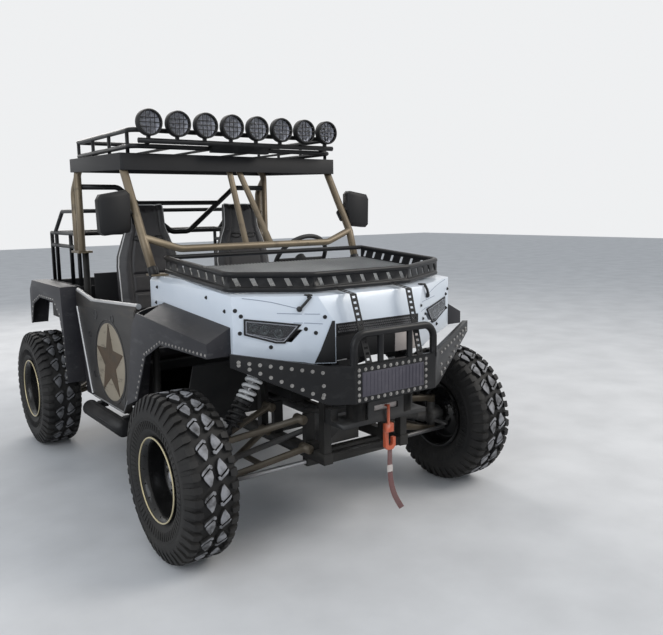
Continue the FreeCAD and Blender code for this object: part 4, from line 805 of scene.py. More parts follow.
strap_line = smooth_line("strap_line", STRAP_ROUTE)
strap = piece("winch_strap_webbing", [in_finish([ribbon(strap_line, STRAP_WIDE, STRAP_THICK, STRAP_TWIST)],
                                                "strap_web")], replaces=["winch_strap"])
keeper_run = strap_line[int(len(strap_line) * KEEPER_FROM):int(len(strap_line) * KEEPER_TO)]
band = piece("strap_keeper", [in_finish([ribbon(keeper_run, KEEPER_WIDE, KEEPER_THICK, KEEPER_TWIST)],
                                        "strap_band")])
print("strap line", round(sum((b - a).length for a, b in zip(strap_line, strap_line[1:])), 3), "m long")

# %% [markdown]
# ## Dressing the solid nodes
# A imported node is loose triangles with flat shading. A merged copy can be shaded smooth, so tubes look round,
# and its sharp edges can be eased, so sheet metal catches light along its bends. The copy stands in for the
# node. Nodes that get a finer piece of their own further down are left out here.

# %% Bodies, slots and a dressed copy of a node
BODY_OF = {node: body for body, nodes in frame["record"]["behaviour"]["bodies"].items() for node in nodes}
SLOT_OF = {part["node"]: part["material_slot"] for part in frame["record"]["subparts"]}
NODE_MERGE, SLIVER, FLAT_ANGLE, NODE_BEVEL_FROM, NODE_SMOOTH = 2e-5, 1e-5, 1.0, 28, 35.0


def dress(node, ease):
    """A merged, smooth shaded copy of a node, with its sharp edges eased, that stands in for it."""
    shape = bmesh.new()
    shape.from_mesh(frame["nodes"][node].data)
    bmesh.ops.remove_doubles(shape, verts=shape.verts, dist=NODE_MERGE)
    bmesh.ops.dissolve_degenerate(shape, edges=shape.edges, dist=SLIVER)
    if ease:
        bmesh.ops.dissolve_limit(shape, angle_limit=math.radians(FLAT_ANGLE), verts=shape.verts, edges=shape.edges)
        ease_edges(shape, ease, NODE_BEVEL_FROM)
    mesh = mesh_from(node + "_dressed", shape, NODE_SMOOTH)
    mesh.materials.clear()
    mesh.materials.append(MATERIALS[SLOT_OF[node]])
    piece(node + "_dressed", [mesh], BODY_OF[node], [node])


OWN_PIECES = {"tyre_fl", "tyre_fr", "tyre_rl", "tyre_rr", "winch_strap", "roof_lamps", "headlights", "shocks", "seats"}
EASED = {"bumper": 0.0015, "front_body": 0.003, "fender_flares": 0.0025, "rear_side_panels": 0.0025, "roof": 0.004,
         "door_left": 0.0012, "door_right": 0.0012, "cargo_bed": 0.0025, "tailgate": 0.0025, "dashboard": 0.004,
         "floor_tub": 0.003}
for node in sorted(frame["nodes"]):
    if node not in OWN_PIECES:
        dress(node, EASED.get(node, 0.0))
print("dressed", len(frame["nodes"]) - len(OWN_PIECES), "nodes")

# %% [markdown]
# The bumper's face is the front of the whole vehicle, so the dressed copy's face moves in by the height of
# the rivets that will stand on it. The hood rack's two braces are strips with a row of cut slots, which a
# Boolean modifier cuts from the dressed rack with one mesh of small blocks.

# %% Bumper face moved in, brace slots cut
RIVET_HIGH = 0.0050
SOLID_FACE_S, HOOP_FOOT_Z = -0.515, 0.900
FACE_S = SOLID_FACE_S + RIVET_HIGH
for vertex in bpy.data.objects["bumper_dressed"].data.vertices:
    if vertex.co.y < FRONT_AXLE_Y + SOLID_FACE_S + 0.001 and vertex.co.z < HOOP_FOOT_Z:
        vertex.co.y += RIVET_HIGH
BRACE = [at(-0.274, 0.166, 1.180), at(-0.403, 0.162, 1.162), at(-0.495, 0.150, 0.868)]
BRACE_SLOTS = (5, 12)
SLOT_HALF_LONG, SLOT_HALF_WIDE, SLOT_HALF_DEEP = 0.0052, 0.0095, 0.012


def brace_slots():
    """Blocks that cut round the middle of each brace, square to its run."""
    parts = []
    for low, high, count in zip(BRACE, BRACE[1:], BRACE_SLOTS):
        run = (high - low).normalized()
        across = (LEFT - run * run.x).normalized()
        normal = run.cross(across)
        for k in range(count):
            middle = low.lerp(high, (k + 0.6) / (count + 0.2))
            corners = [middle + run * (SLOT_HALF_LONG * u) + across * (SLOT_HALF_WIDE * v) - normal * SLOT_HALF_DEEP
                       for u, v in ((-1, -1), (1, -1), (1, 1), (-1, 1))]
            parts.append(plate(corners, normal * (2 * SLOT_HALF_DEEP)))
    return mirrored(parts)


def cut_from(name, cutter_mesh):
    """Cut one mesh out of a piece's mesh with a Boolean modifier, applied."""
    target, cutter = bpy.data.objects[name], put("cutter", cutter_mesh)
    boolean = target.modifiers.new("cut", "BOOLEAN")
    boolean.operation, boolean.solver, boolean.object = "DIFFERENCE", "EXACT", cutter
    done = result_of(target)
    target.modifiers.clear()
    bpy.data.objects.remove(cutter)
    target.data = done
    shade(done, NODE_SMOOTH)
    return len(done.polygons)


print("rack faces after cutting", cut_from("hood_rack_dressed", mesh_of("brace_slots", brace_slots())))

# %% [markdown]
# ## Tyres
# An all terrain tyre has two staggered rows of lugs down the middle, each a slanted bar above a shield
# that comes to a point, and shoulder lugs that wrap round to the sidewall. One pitch of the tread is
# drawn flat as outlines in millimetres, and each lug is rolled onto the tyre's radius.

# %% Lugs of one pitch of tread
PITCHES = 22
HALF_PITCH = math.pi * TYRE_R / PITCHES * 1000  # in millimetres
LUG_DEEP, LUG_ROOT, LUG_EASE, LUG_SHRINK, ROW_SHIFT = 0.017, 0.006, 0.0016, 0.10, 0.35
# (across, along) for the row on the -X side; the other row is the same turned half round
ROW_SHAPES = [[(-62, 12), (-54, 24), (-20, 47), (-9, 42), (-7, 30), (-14, 27), (-21, 34), (-52, 12), (-60, 4)],
              [(-55, 1), (-46, 9), (-20, 27), (-12, 18), (-10, -6), (-20, -36), (-30, -46), (-36, -36), (-52, -12)]]
# (share of half a pitch, half length) of the shoulder lugs, and their section as (distance across, radius)
SHOULDER_LUGS = [(0, 17), (1, 15)]
SHOULDER_SECTION = [(0.066, 0.3735), (0.0825, 0.3745), (0.1003, 0.3665), (0.1215, 0.3145), (0.1213, 0.300),
                    (0.112, 0.300), (0.110, 0.312), (0.094, 0.346), (0.080, 0.352), (0.066, 0.352)]


def on_tread(centre, x, along, radius):
    """A point at a distance across from the tyre's centre and millimetres along the tread, at a radius."""
    turn = along / 1000 / TYRE_R
    return centre + Vector((x, -radius * math.cos(turn), radius * math.sin(turn)))


def rolled_lug(outline, centre):
    """A middle lug with an eased rim to its top."""
    middle = [sum(p[k] for p in outline) / len(outline) for k in (0, 1)]
    levels = ((0.0, TYRE_R - LUG_DEEP - LUG_ROOT), (0.0, TYRE_R - LUG_EASE), (LUG_SHRINK, TYRE_R))
    points = [on_tread(centre, (u + (middle[0] - u) * shrink) / 1000, v + (middle[1] - v) * shrink, radius)
              for shrink, radius in levels for u, v in outline]
    return points, skin(len(outline), len(levels))


def shoulder_lug(centre, side, along, half):
    """A block that runs from the tread's edge over the shoulder and down the sidewall, narrower at its ends."""
    points, count = [], len(SHOULDER_SECTION)
    for edge in (-1, 1):
        for index, (u, radius) in enumerate(SHOULDER_SECTION):
            narrow = 0.72 if index in (0, count - 1) else 0.90 if index in (2, 3, 4) else 1.0
            points.append(on_tread(centre, side * u, along + edge * half * narrow + side * u * 40, radius))
    return points, [tuple(range(count)), tuple(reversed(range(count, 2 * count)))] + strip(0, count, count)


def tread_pitch(centre):
    """All lugs of one pitch: two of each row and the shoulder lugs on both sides."""
    parts = []
    for outline in ROW_SHAPES:
        half_round = [(-u, HALF_PITCH * ROW_SHIFT - v) for u, v in outline]
        parts += [rolled_lug(outline, centre), rolled_lug(half_round, centre)]
    return parts + [shoulder_lug(centre, side, share * HALF_PITCH - 10 * side, half)
                    for side in (-1, 1) for share, half in SHOULDER_LUGS]


print("one pitch has", len(tread_pitch(Vector())), "lugs over", round(2 * HALF_PITCH), "mm")

# %% [markdown]
# The carcass is one turned profile. The copies tree sets the pitch of lugs 22 times round the axle, and fine
# ribs and two bands finish the sidewall. The lug tops carry the pale mark, partly dust and partly a painted highlight:
# more in front, where they look paler.

# %% Four whole tyres
CARCASS = [(0.0955, 0.1803), (0.0955, 0.193), (0.104, 0.205), (0.113, 0.222), (0.1165, 0.240), (0.1185, 0.262),
           (0.1205, 0.290), (0.1200, 0.308), (0.1135, 0.322), (0.1040, 0.338), (0.0920, 0.351), (0.0700, 0.3575)]
RIB_LINE, RIB_R, RIBS_ROUND = ((0.1140, 0.225), (0.1185, 0.243), (0.1200, 0.262)), 0.0022, 66
BAND_X, BAND_RADII = 0.1185, (0.272, 0.278)
PALE_TOP_DEEP, PALE_TOP_HALF_WIDE = 0.0012, 0.0645
# How strongly each tyre's lug tops are painted pale, as dust and a painted highlight; more on the front tyres.
DUST_AND_HIGHLIGHT_OF = {"tyre_fl": 1.0, "tyre_fr": 1.0, "tyre_rl": 0.5, "tyre_rr": 0.5}


def middle_of(node):
    """The centre of a node's box."""
    low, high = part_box(node)
    return (low + high) / 2


def mark_dust_and_highlight(mesh, centre, share):
    """Store a share of the pale mark, dust and painted highlight, on points at the top of the middle lugs and 0
    elsewhere, for the rubber to read.
    """
    values = []
    for vertex in mesh.vertices:
        away = vertex.co - centre
        on_top = math.hypot(away.y, away.z) > TYRE_R - PALE_TOP_DEEP and abs(away.x) < PALE_TOP_HALF_WIDE
        values.append(share if on_top else 0.0)
    mesh.attributes.new("wear", "FLOAT", "POINT").data.foreach_set("value", values)


def tyre(node):
    """The whole tyre of one wheel: carcass, tread and fine sidewall ribs."""
    centre = middle_of(node)
    ring = CARCASS + [(-u, r) for u, r in reversed(CARCASS)]
    carcass = in_finish([turned(ring, centre, LEFT, 132, closed=True)], "tyre", smooth=60)
    tread = copies(tread_pitch(centre), PITCHES, "tyre", turn=(2 * math.pi / PITCHES, 0, 0), pivot=centre,
                   smooth=30)
    ribs = [bar([centre + Vector((side * u, -r, 0)) for u, r in RIB_LINE], RIB_R, 6) for side in (-1, 1)]
    ribs = copies(ribs, RIBS_ROUND, "tyre", turn=(2 * math.pi / RIBS_ROUND, 0, 0), pivot=centre)
    bands = [turned(round_section(side * BAND_X, radius, RIB_R, 6), centre, LEFT, 96, closed=True)
             for side in (-1, 1) for radius in BAND_RADII]
    whole = joined(node + "_rubber", [carcass, tread, ribs, in_finish(bands, "tyre")])
    mark_dust_and_highlight(whole, centre, DUST_AND_HIGHLIGHT_OF[node])
    piece(node + "_rubber", [whole], BODY_OF[node], [node])
    return len(whole.polygons)


print("tyre faces", [tyre(node) for node in DUST_AND_HIGHLIGHT_OF])

# %% [markdown]
# ## Rims
# The rims are deep black dishes. A thin gold ring runs round the lip, sixteen dark bolts hold that ring,
# and a polished cap shines at the bottom of the dish. The dish's own solid stays; these are set on it.

# %% Ring, bolts and cap for each rim
LIP_X, LIP_R, LIP_THICK = 0.1105, 0.1870, 0.0036
CAP = [(0.018, 0.0005), (0.018, 0.036), (0.026, 0.036), (0.040, 0.030), (0.047, 0.018), (0.049, 0.0005)]
# two bars of the dish's ribs: (out, backward, up) of both ends, radius, sides
DISH_BARS = [((-0.016, 0, 0.084), (-0.007, 0, 0.150), 0.007, 10),
             ((-0.018, 0.018, 0.084), (-0.008, 0.030, 0.150), 0.005, 8)]


def studs_round(centre, axis, out, ring_r, count, first, radius, height, material):
    """Six sided studs evenly round an axis along X."""
    places = [(centre + axis * out + Vector((0, ring_r * math.cos(a + first), ring_r * math.sin(a + first))), axis)
              for a in turns(count)]
    return studs(places, radius, height, 6, material)


def rim_trim(node, side):
    """Gold ring on the lip, bolts through it, the dish's ribs, hub nuts and a bright hub cap."""
    centre, axis = middle_of(node), LEFT * side
    lip = turned(round_section(LIP_X, LIP_R, LIP_THICK, 8), centre, axis, 96, closed=True)
    bars = [bar([centre + Vector((side * x, y, z)) for x, y, z in ends], radius, sides)
            for *ends, radius, sides in DISH_BARS]
    trim = piece(node + "_trim", [
        in_finish([lip], "gold_ring"),
        in_finish([turned(CAP, centre, axis, 48, closed=True)], "chrome_bowl"),
        copies(bars, 8, "rim_black", turn=(math.pi / 4, 0, 0), pivot=centre),
        studs_round(centre, axis, 0.010, 0.066, 4, 0.4, 0.011, 0.02, "plain_steel"),
        studs_round(centre, axis, 0.0955, 0.172, 16, 0.0, 0.0045, 0.006, "bolt_dark")],
                 BODY_OF[node])
    return len(trim.data.polygons)


print("rim trim faces", [rim_trim("rim_" + end, side) for end, side in (("fl", 1), ("rl", 1), ("fr", -1), ("rr", -1))])

# %% [markdown]
# ## Roof lamps
# Eight round driving lamps stand in a row. Each has a black housing with a rim, a bright bowl with
# small round reflectors in it, a clear lens, and a guard of crossing bars in front of the glass.
# Profiles are pairs of a distance forward of the lamp's centre and a radius.

# %% A row of roof lamps
LAMPS, LAMP_PITCH, LAMP_CENTRE = 8, 0.16129, at(0.788, -0.5645, 1.987)
HOUSING = [(-0.0435, 0.0005), (-0.0435, 0.0242), (-0.032, 0.0428), (-0.012, 0.0685), (0.020, 0.0685),
           (0.0275, 0.0660), (0.0275, 0.0590), (0.016, 0.0590), (-0.008, 0.0560), (-0.022, 0.034), (-0.024, 0.0005)]
BOWL = [(-0.021, 0.0005), (-0.018, 0.020), (-0.010, 0.040), (0.004, 0.0560), (0.0045, 0.0575), (-0.012, 0.042),
        (-0.020, 0.020), (-0.023, 0.0005)]
CUP = [(-0.019, 0.0003), (-0.014, 0.008), (-0.004, 0.0128), (-0.004, 0.0142), (-0.016, 0.0095), (-0.021, 0.0003)]
GLASS = [(0.0130, 0.0005), (0.0125, 0.030), (0.0105, 0.0585), (0.0080, 0.0585), (0.0095, 0.030), (0.0100, 0.0005)]
CUP_RING, CUP_FORWARD = 0.030, 0.004
GUARD_OFFSETS, GUARD_REACH, GUARD_FORWARD, GUARD_R = (-0.024, 0.0, 0.024), 0.062, 0.0235, 0.0022


def roof_lamp(centre):
    """Meshes of one lamp: housing and foot, bowl and cups, glass, guard."""
    foot = block(centre + Vector((-0.008, 0.002, -0.091)), centre + Vector((0.008, 0.022, -0.060)))
    spots = [centre] + [centre + Vector((CUP_RING * math.cos(a), 0, CUP_RING * math.sin(a))) for a in turns(6)]
    guard = []
    for offset in GUARD_OFFSETS:
        reach = math.sqrt(GUARD_REACH ** 2 - offset ** 2)
        for ends in (((-reach, offset), (reach, offset)), ((offset, -reach), (offset, reach))):
            guard.append(bar([centre + FORWARD * GUARD_FORWARD + Vector((x, 0, z)) for x, z in ends], GUARD_R, 8))
    return [in_finish([turned(HOUSING, centre, FORWARD, 48), foot], "black_plastic"),
            in_finish([turned(BOWL, centre, FORWARD, 48)] + [
                turned(CUP, spot + FORWARD * CUP_FORWARD, FORWARD, 16) for spot in spots], "chrome_bowl"),
            in_finish([turned(GLASS, centre, FORWARD, 48)], "lamp_glass"),
            in_finish(guard, "bolt_dark")]


row = piece("roof_lamp_row", [mesh for k in range(LAMPS) for mesh in roof_lamp(LAMP_CENTRE + LEFT * (LAMP_PITCH * k))],
            BODY_OF["roof_lamps"], ["roof_lamps"])
print("roof lamps", len(row.data.polygons), "faces")

# %% [markdown]
# ## Coil shocks
# Each corner hangs on a coil shock: a dark damper body below, a bright shaft above, and two springs that
# meet at a divider: a thick white one above a black one. The lower spring's black is painted shadow, for the lower part
# of the shock that lies in shade. A spring is one bar that follows a helix.

# %% A spring's helix
END_FLAT = 0.055


def helix(low, high, radius, coils, steps=20):
    """Points of a helix between two centres whose first and last coils lie nearly flat."""
    axis = (high - low).normalized()
    first = axis.orthogonal().normalized()
    second = axis.cross(first)
    points = []
    for index in range(int(coils * steps) + 1):
        share = index / (coils * steps)
        rise = (high - low).length * (share - END_FLAT * math.sin(2 * math.pi * share))
        turn = 2 * math.pi * coils * share
        points.append(low + axis * rise + (first * math.cos(turn) + second * math.sin(turn)) * radius)
    return points


print("helix points", len(helix(Vector(), Vector((0, 0, 1)), 0.03, 4)))

# %% [markdown]
# The lower arm slopes, so a shock's foot height follows from how far out it stands on the arm. The profiles
# of the damper, its two cups and the divider are given along the line from the foot to the head.

# %% Four coil shocks
ARM_ROOT_X, ARM_ROOT_Z, ARM_DROP, PIN_ABOVE_ARM = 0.2773, 0.560, 0.090, 0.0303
FOOT_X, HEAD_X, SPRING_SPLIT, DAMPER_SHARE = 0.585, 0.400, 0.46, 0.52
EYE = [(-0.0185, 0.0005), (-0.0185, 0.0155), (0.0185, 0.0155), (0.0185, 0.0005)]


def shock(side, station, arm_end_x, top_z):
    """Meshes of one shock between its arm and its tower."""
    share = (FOOT_X - ARM_ROOT_X) / (arm_end_x - ARM_ROOT_X)
    foot = at(station, side * FOOT_X, ARM_ROOT_Z - ARM_DROP * share + PIN_ABOVE_ARM)
    head = at(station, side * HEAD_X, top_z)
    run, length = (head - foot).normalized(), (head - foot).length
    split, damper = length * SPRING_SPLIT, length * DAMPER_SHARE
    upper = bar(helix(foot + run * (split + 0.012), foot + run * (length - 0.048), 0.0335, 4.6), 0.0090, 10)
    # The lower spring is made black as painted shadow, for the part of the shock that lies in shade.
    lower = bar(helix(foot + run * 0.056, foot + run * (split - 0.012), 0.0350, 3.4), 0.0075, 10)
    profiles = [
        ([(0.030, 0.0005), (0.030, 0.024), (damper, 0.024), (damper + 0.004, 0.021), (damper + 0.004, 0.0005)], 32),
        ([(0.036, 0.0005), (0.036, 0.043), (0.044, 0.0445), (0.048, 0.034), (0.048, 0.0005)], 40),
        ([(length - 0.040, 0.0005), (length - 0.040, 0.034), (length - 0.034, 0.0445), (length - 0.026, 0.043),
          (length - 0.024, 0.020), (length - 0.012, 0.016), (length - 0.012, 0.0005)], 40),
        ([(split - 0.007, 0.0005), (split - 0.007, 0.041), (split + 0.007, 0.043), (split + 0.007, 0.0005)], 36)]
    dark = [turned(profile, foot, run, sides) for profile, sides in profiles]
    dark += [turned(EYE, place, BACKWARD, 24) for place in (foot, head)]
    dark += [bar([foot, foot + run * 0.036], 0.011, 12), bar([head - run * 0.030, head], 0.011, 12)]
    shaft = bar([foot + run * length * 0.5, foot + run * (length - 0.03)], 0.0085, 16)
    return [in_finish([upper], "spring_white", smooth=60),
            # Painted shadow: the black finish of the lower spring.
            in_finish([lower], "black_plastic", smooth=60),
            in_finish(dark, "black_tube"), in_finish([shaft], "plain_steel")]


shocks = piece("coil_shocks", [mesh for side in (-1, 1) for station, arm_end_x, top_z in
                               ((0.0, 0.700, 0.800), (WHEELBASE, 0.685, 0.685))
                               for mesh in shock(side, station, arm_end_x, top_z)],
               BODY_OF["shocks"], ["shocks"])
print("shocks", len(shocks.data.polygons), "faces")

# %% [markdown]
# ## Upright planes
# The nose, the cheeks and the bumper's wings are upright folds of sheet. A small function makes, for each,
# its outward direction and a way to place points on it by X and height. An outline can be drawn in evenly.

# %% Planes of the folded front


def upright(first, last):
    """The outward direction of the upright plane through two points, and a function that gives points on it."""
    away = Vector((last.y - first.y, -(last.x - first.x), 0)).normalized()

    def on_plane(x, z, out=0.0):
        """A point of the plane at an X and a height, moved out from it."""
        place = first + (last - first) * ((x - first.x) / (last.x - first.x))
        return Vector((place.x, place.y, z)) + away * out

    return away, on_plane


def inset(outline, distance):
    """A convex outline of pairs drawn in by a distance, each corner staying on its bisector."""
    corners = [Vector(p) for p in outline]
    middle = sum(corners, Vector((0, 0))) / len(corners)
    moved = []
    for before, here, after in zip(corners[-1:] + corners, corners, corners[1:] + corners[:1]):
        normals = []
        for way in ((here - before).normalized(), (after - here).normalized()):
            normal = Vector((-way.y, way.x))
            if normal.dot(middle - here) < 0:
                normal.negate()
            normals.append(normal)
        bisector = (normals[0] + normals[1]).normalized()
        moved.append(tuple(here + bisector * (distance / max(0.3, bisector.dot(normals[0])))))
    return moved


NOSE_EDGE, CHEEK_EDGE, CHEEK_END = at(-0.385, 0.245, 0), at(-0.310, 0.360, 0), at(-0.185, 0.640, 0)
CHEEK_OUT, cheek = upright(CHEEK_EDGE, CHEEK_END)
CHAMFER_OUT, chamfer = upright(NOSE_EDGE, CHEEK_EDGE)
WING_OUT, wing = upright(at(-0.444, 0.330, 0), at(-0.270, 0.700, 0))
print("cheek faces", [round(v, 3) for v in CHEEK_OUT])

# %% [markdown]
# ## Headlights
# Each headlight is a dark slanted shape on the cheek: a black bezel, a thin pale line inside it, three
# dark bowls and a clear cover. Every layer is an outline on the cheek, pushed out a little.

# %% Headlight layers on the cheek
HEADLIGHT = [(0.368, 1.037), (0.596, 1.072), (0.597, 1.002), (0.474, 0.960), (0.436, 0.957)]
HEADLIGHT_BOWLS = ((0.560, 1.034, 0.0185), (0.515, 1.020, 0.0205), (0.462, 1.003, 0.0205))


def on_cheek(draw_in, out):
    """The headlight's outline, drawn in by a distance, laid on the cheek."""
    return [cheek(x, z, out) for x, z in (inset(HEADLIGHT, draw_in) if draw_in else HEADLIGHT)]


bowls = [turned([(0.0, 0.0004), (0.0005, radius * 0.55), (0.0022, radius * 0.9), (0.0024, radius), (0.0, radius)],
                cheek(x, z, 0.001), CHEEK_OUT, 28) for x, z, radius in HEADLIGHT_BOWLS]
light_bar = bar([cheek(0.418, 0.985, 0.0018), cheek(0.455, 0.976, 0.0018), cheek(0.560, 1.003, 0.0018)], 0.0016, 8)
layers = [("black_plastic", ring_plate(on_cheek(0, 0.0002), on_cheek(0.0065, 0.0002), CHEEK_OUT * 0.0045), 0.0006),
          ("black_plastic", plate(on_cheek(0.003, 0.0002), CHEEK_OUT * 0.0012), 0.0006),
          ("pale_edge", ring_plate(on_cheek(0.0075, 0.001), on_cheek(0.0115, 0.001), CHEEK_OUT * 0.0022), 0.0)]
layers += [("lens_dark", bowl, 0.0) for bowl in bowls]
layers += [("pale_edge", light_bar, 0.0), ("lamp_glass", plate(on_cheek(0.007, 0.0036), CHEEK_OUT * 0.0008), 0.0)]
headlights = piece("headlight_pair", [in_finish([part], material, bevel) for material, one, bevel in layers
                                      for part in mirrored([one])], replaces=["headlights"])
print("headlights", len(headlights.data.polygons), "faces")

# %% [markdown]
# ## Body seams, bolts and latches
# The white panels are held by dark domed bolts, and thin seams run from the hood's edge to the headlight.
# A rubber latch on each side holds the hood down. These are small things set on the surface.

# %% Bolts and seams on the white body
BOLT_R, BOLT_HIGH, SEAM_R, SIDE_X = 0.0068, 0.007, 0.0016, 0.640
CHEEK_BOLTS = ((0.628, 1.108), (0.606, 1.083), (0.612, 1.010), (0.492, 0.944))
CHAMFER_BOLTS = ((0.282, 1.067), (0.316, 0.998), (0.352, 1.016))
SIDE_BOLTS = ((-0.12, 1.10), (0.05, 1.145), (0.60, 1.15), (0.62, 1.07))
bolt_places = both_sides([(cheek(x, z), CHEEK_OUT) for x, z in CHEEK_BOLTS]
                         + [(chamfer(x, z), CHAMFER_OUT) for x, z in CHAMFER_BOLTS]
                         + [(at(station, SIDE_X, z), LEFT) for station, z in SIDE_BOLTS])
piece("body_bolts", [studs(bolt_places, BOLT_R, BOLT_HIGH, 8, "bolt_dark")])
SEAMS = [(cheek, (0.600, 1.160), (0.540, 1.150), (0.483, 1.138), (0.386, 1.108)),
         (cheek, (0.465, 1.090), (0.366, 1.082)), (cheek, (0.400, 1.045), (0.364, 1.043)),
         (chamfer, (0.358, 1.043), (0.290, 1.037)), (chamfer, (0.356, 1.082), (0.300, 1.080))]
seams = mirrored([bar([plane(x, z) for x, z in path], SEAM_R, 8) for plane, *path in SEAMS])
piece("body_seams", [in_finish(seams, "seam_blue")])
latch = [bar([cheek(0.330, 1.158, 0.012), cheek(0.350, 1.135, 0.014), cheek(0.372, 1.108, 0.010)], 0.0062, 10),
         turned([(0.0, 0.0005), (0.0, 0.013), (0.010, 0.011), (0.014, 0.0005)], cheek(0.376, 1.104, 0.001),
                CHEEK_OUT, 20),
         block(cheek(0.322, 1.150), cheek(0.322, 1.150) + Vector((0.024, 0.030, 0.016)))]
piece("hood_latches", [in_finish(mirrored(latch), "winch_black", 0.0008)])
print("bolts", len(bolt_places))

# %% [markdown]
# ## The nose
# Between the headlights the nose is dark: a perforated strip under the hood, a plain panel that widens
# towards the bumper, and a pale plate low on the left. The perforations are one small ring copied in rows.

# %% Perforated strip and nose panels
NOSE_FACE, HOLES, HOLE_PITCH = -0.388, 38, 0.012
SKIRT = ((0.246, 1.050), (0.256, 1.050), (0.300, 0.920), (0.322, 0.866), (0.246, 0.866))
HOLE_RING = [(0.0, 0.0042), (0.0, 0.0026), (0.0012, 0.0026), (0.0012, 0.0042)]


def nose_block(out, deep, x0, z0, x1, z1):
    """A block on the nose's face, from out in front of it to deep behind it."""
    return block(at(NOSE_FACE - out, x0, z0), at(NOSE_FACE + deep, x1, z1))


nose = [in_finish([nose_block(0, 0.004, -0.240, 0.990, 0.240, 1.034)], "black_plastic", 0.001),
        in_finish([nose_block(0.001, 0.002, -0.243, 0.872, 0.090, 0.978)], "black_plastic", 0.001),
        in_finish([plate([flip(chamfer(x, z, 0.0005)) for x, z in SKIRT], flip(CHAMFER_OUT) * 0.003)],
                  "black_plastic", 0.0008),
        in_finish([nose_block(0.0005, 0.003, 0.096, 0.872, 0.238, 0.958)], "strap_band", 0.001),
        # This pale bar along the panel's lower edge is a painted highlight on the top edge of the bumper.
        in_finish([bar([at(NOSE_FACE - 0.003, x, 0.874) for x in (-0.243, -0.190)], 0.002, 8)], "pale_edge")]
for number, z in enumerate((1.000, 1.0115, 1.023)):
    first = at(NOSE_FACE, -0.228 + HOLE_PITCH / 2 * (number % 2), z)
    ring = turned(HOLE_RING, first, FORWARD, 8, closed=True)
    nose.append(copies([ring], HOLES, "plain_steel", step=(HOLE_PITCH, 0, 0), pivot=first))
nose = piece("nose_panels", nose)
print("nose panels", len(nose.data.polygons), "faces")

# %% [markdown]
# ## Bumper rivets and blank plate
# The bumper is folded steel with two rows of pale domed rivets on each wing. A grey plate on its face is
# framed by more of them; it is left blank. Every rivet is a stud, placed by short tables of rows.

# %% Rivets of the wings and the plate's border
WING_X, WING_STEP, WING_RIVETS = 0.350, 0.040, 9
PLATE_X, PLATE_Z, PLATE_RIVETS, SIDE_ROWS = (-0.224, 0.186), (0.708, 0.852), 12, 5
RIVET_R, RIVET_CLEAR, BORDER_X, BORDER_Z = 0.0062, 0.0002, 0.010, 0.006
plate_wide, plate_high = PLATE_X[1] - PLATE_X[0], PLATE_Z[1] - PLATE_Z[0]
wing_places = []
for x in (WING_X + WING_STEP * k for k in range(WING_RIVETS)):
    wing_places += [(wing(x, 0.838 + (x - 0.330) * 0.2), WING_OUT), (wing(x, 0.724 + (x - 0.330) * 0.5), WING_OUT)]
rivet_places = both_sides(wing_places + [(wing(0.347, z), WING_OUT) for z in (0.785, 0.745)])
for k in range(PLATE_RIVETS):
    x = PLATE_X[0] + BORDER_X + (plate_wide - 2 * BORDER_X) * k / (PLATE_RIVETS - 1)
    rivet_places += [(at(FACE_S, x, z), FORWARD) for z in (PLATE_Z[0] + BORDER_Z, PLATE_Z[1] - BORDER_Z)]
for k in range(1, SIDE_ROWS):
    z = PLATE_Z[0] + plate_high * k / SIDE_ROWS
    rivet_places += [(at(FACE_S, x, z), FORWARD) for x in (PLATE_X[0] + BORDER_X, PLATE_X[1] - BORDER_X)]
rivets = studs(rivet_places, RIVET_R, RIVET_HIGH - RIVET_CLEAR, 10, "rivet_pale")
piece("bumper_rivets", [rivets])
print("rivets", len(rivet_places))

# %% [markdown]
# The blank plate is a thin block with a row of fine upright ribs. The flares over the wheels are riveted
# too: their rivets follow each arch at an even spacing.

# %% Blank plate and rivets round the wheel arches
ARCH_FRONT = [(-0.150, 0.925), (0.328, 0.917), (0.530, 0.828), (0.676, 0.575)]
ARCH_REAR = [(-0.384, 0.500), (-0.366, 0.760), (-0.315, 0.895), (-0.190, 0.979), (0.130, 0.979), (0.305, 0.918),
             (0.378, 0.775)]
PLATE_RIBS, PLATE_RIB_PITCH = 18, 0.0205


def along_path(points, spacing):
    """Points at even spacing along straight runs."""
    out = []
    for first, last in zip(points, points[1:]):
        first, last = Vector(first), Vector(last)
        count = max(1, round((last - first).length / spacing))
        out += [first.lerp(last, k / count) for k in range(count)]
    return out + [Vector(points[-1])]


blank = block(at(FACE_S - 0.0030, PLATE_X[0] + 0.026, PLATE_Z[0] + 0.018),
              at(FACE_S, PLATE_X[1] - 0.026, PLATE_Z[1] - 0.018))
rib = bar([at(FACE_S - 0.0027, PLATE_X[0] + 0.030, z) for z in (PLATE_Z[0] + 0.024, PLATE_Z[1] - 0.024)], 0.0022, 6)
ribs = copies([rib], PLATE_RIBS, "plate_grey", step=(PLATE_RIB_PITCH, 0, 0))
piece("bumper_plate", [in_finish([blank], "plate_grey", 0.001), ribs])
arch_places = both_sides([(at(station + p.x, x, p.y), LEFT) for arch, station, x, spacing in (
    (ARCH_FRONT, 0.0, 0.755, 0.038), (ARCH_REAR, WHEELBASE, 0.800, 0.045)) for p in along_path(arch, spacing)])
piece("arch_rivets", [studs(arch_places, 0.0052, 0.004, 8, "rivet_pale")])
print("arch rivets", len(arch_places))

# %% [markdown]
# ## Doors
# Each half door carries a worn tan disc with a raised brown five pointed star, a few dark round dishes,
# and pale edges: the round rail along its top and the strip down its rear edge. All swing with the door.

# %% A faceted star
STAR_S, STAR_Z, STAR_R, NOTCH_SHARE, STAR_FACE_X = 1.165, 0.678, 0.222, 0.42, 0.7118
MIDDLE_LIFT, TIP_LIFT, NOTCH_LIFTS = 0.0042, 0.0032, ((-1, 0.0008), (1, 0.0012))


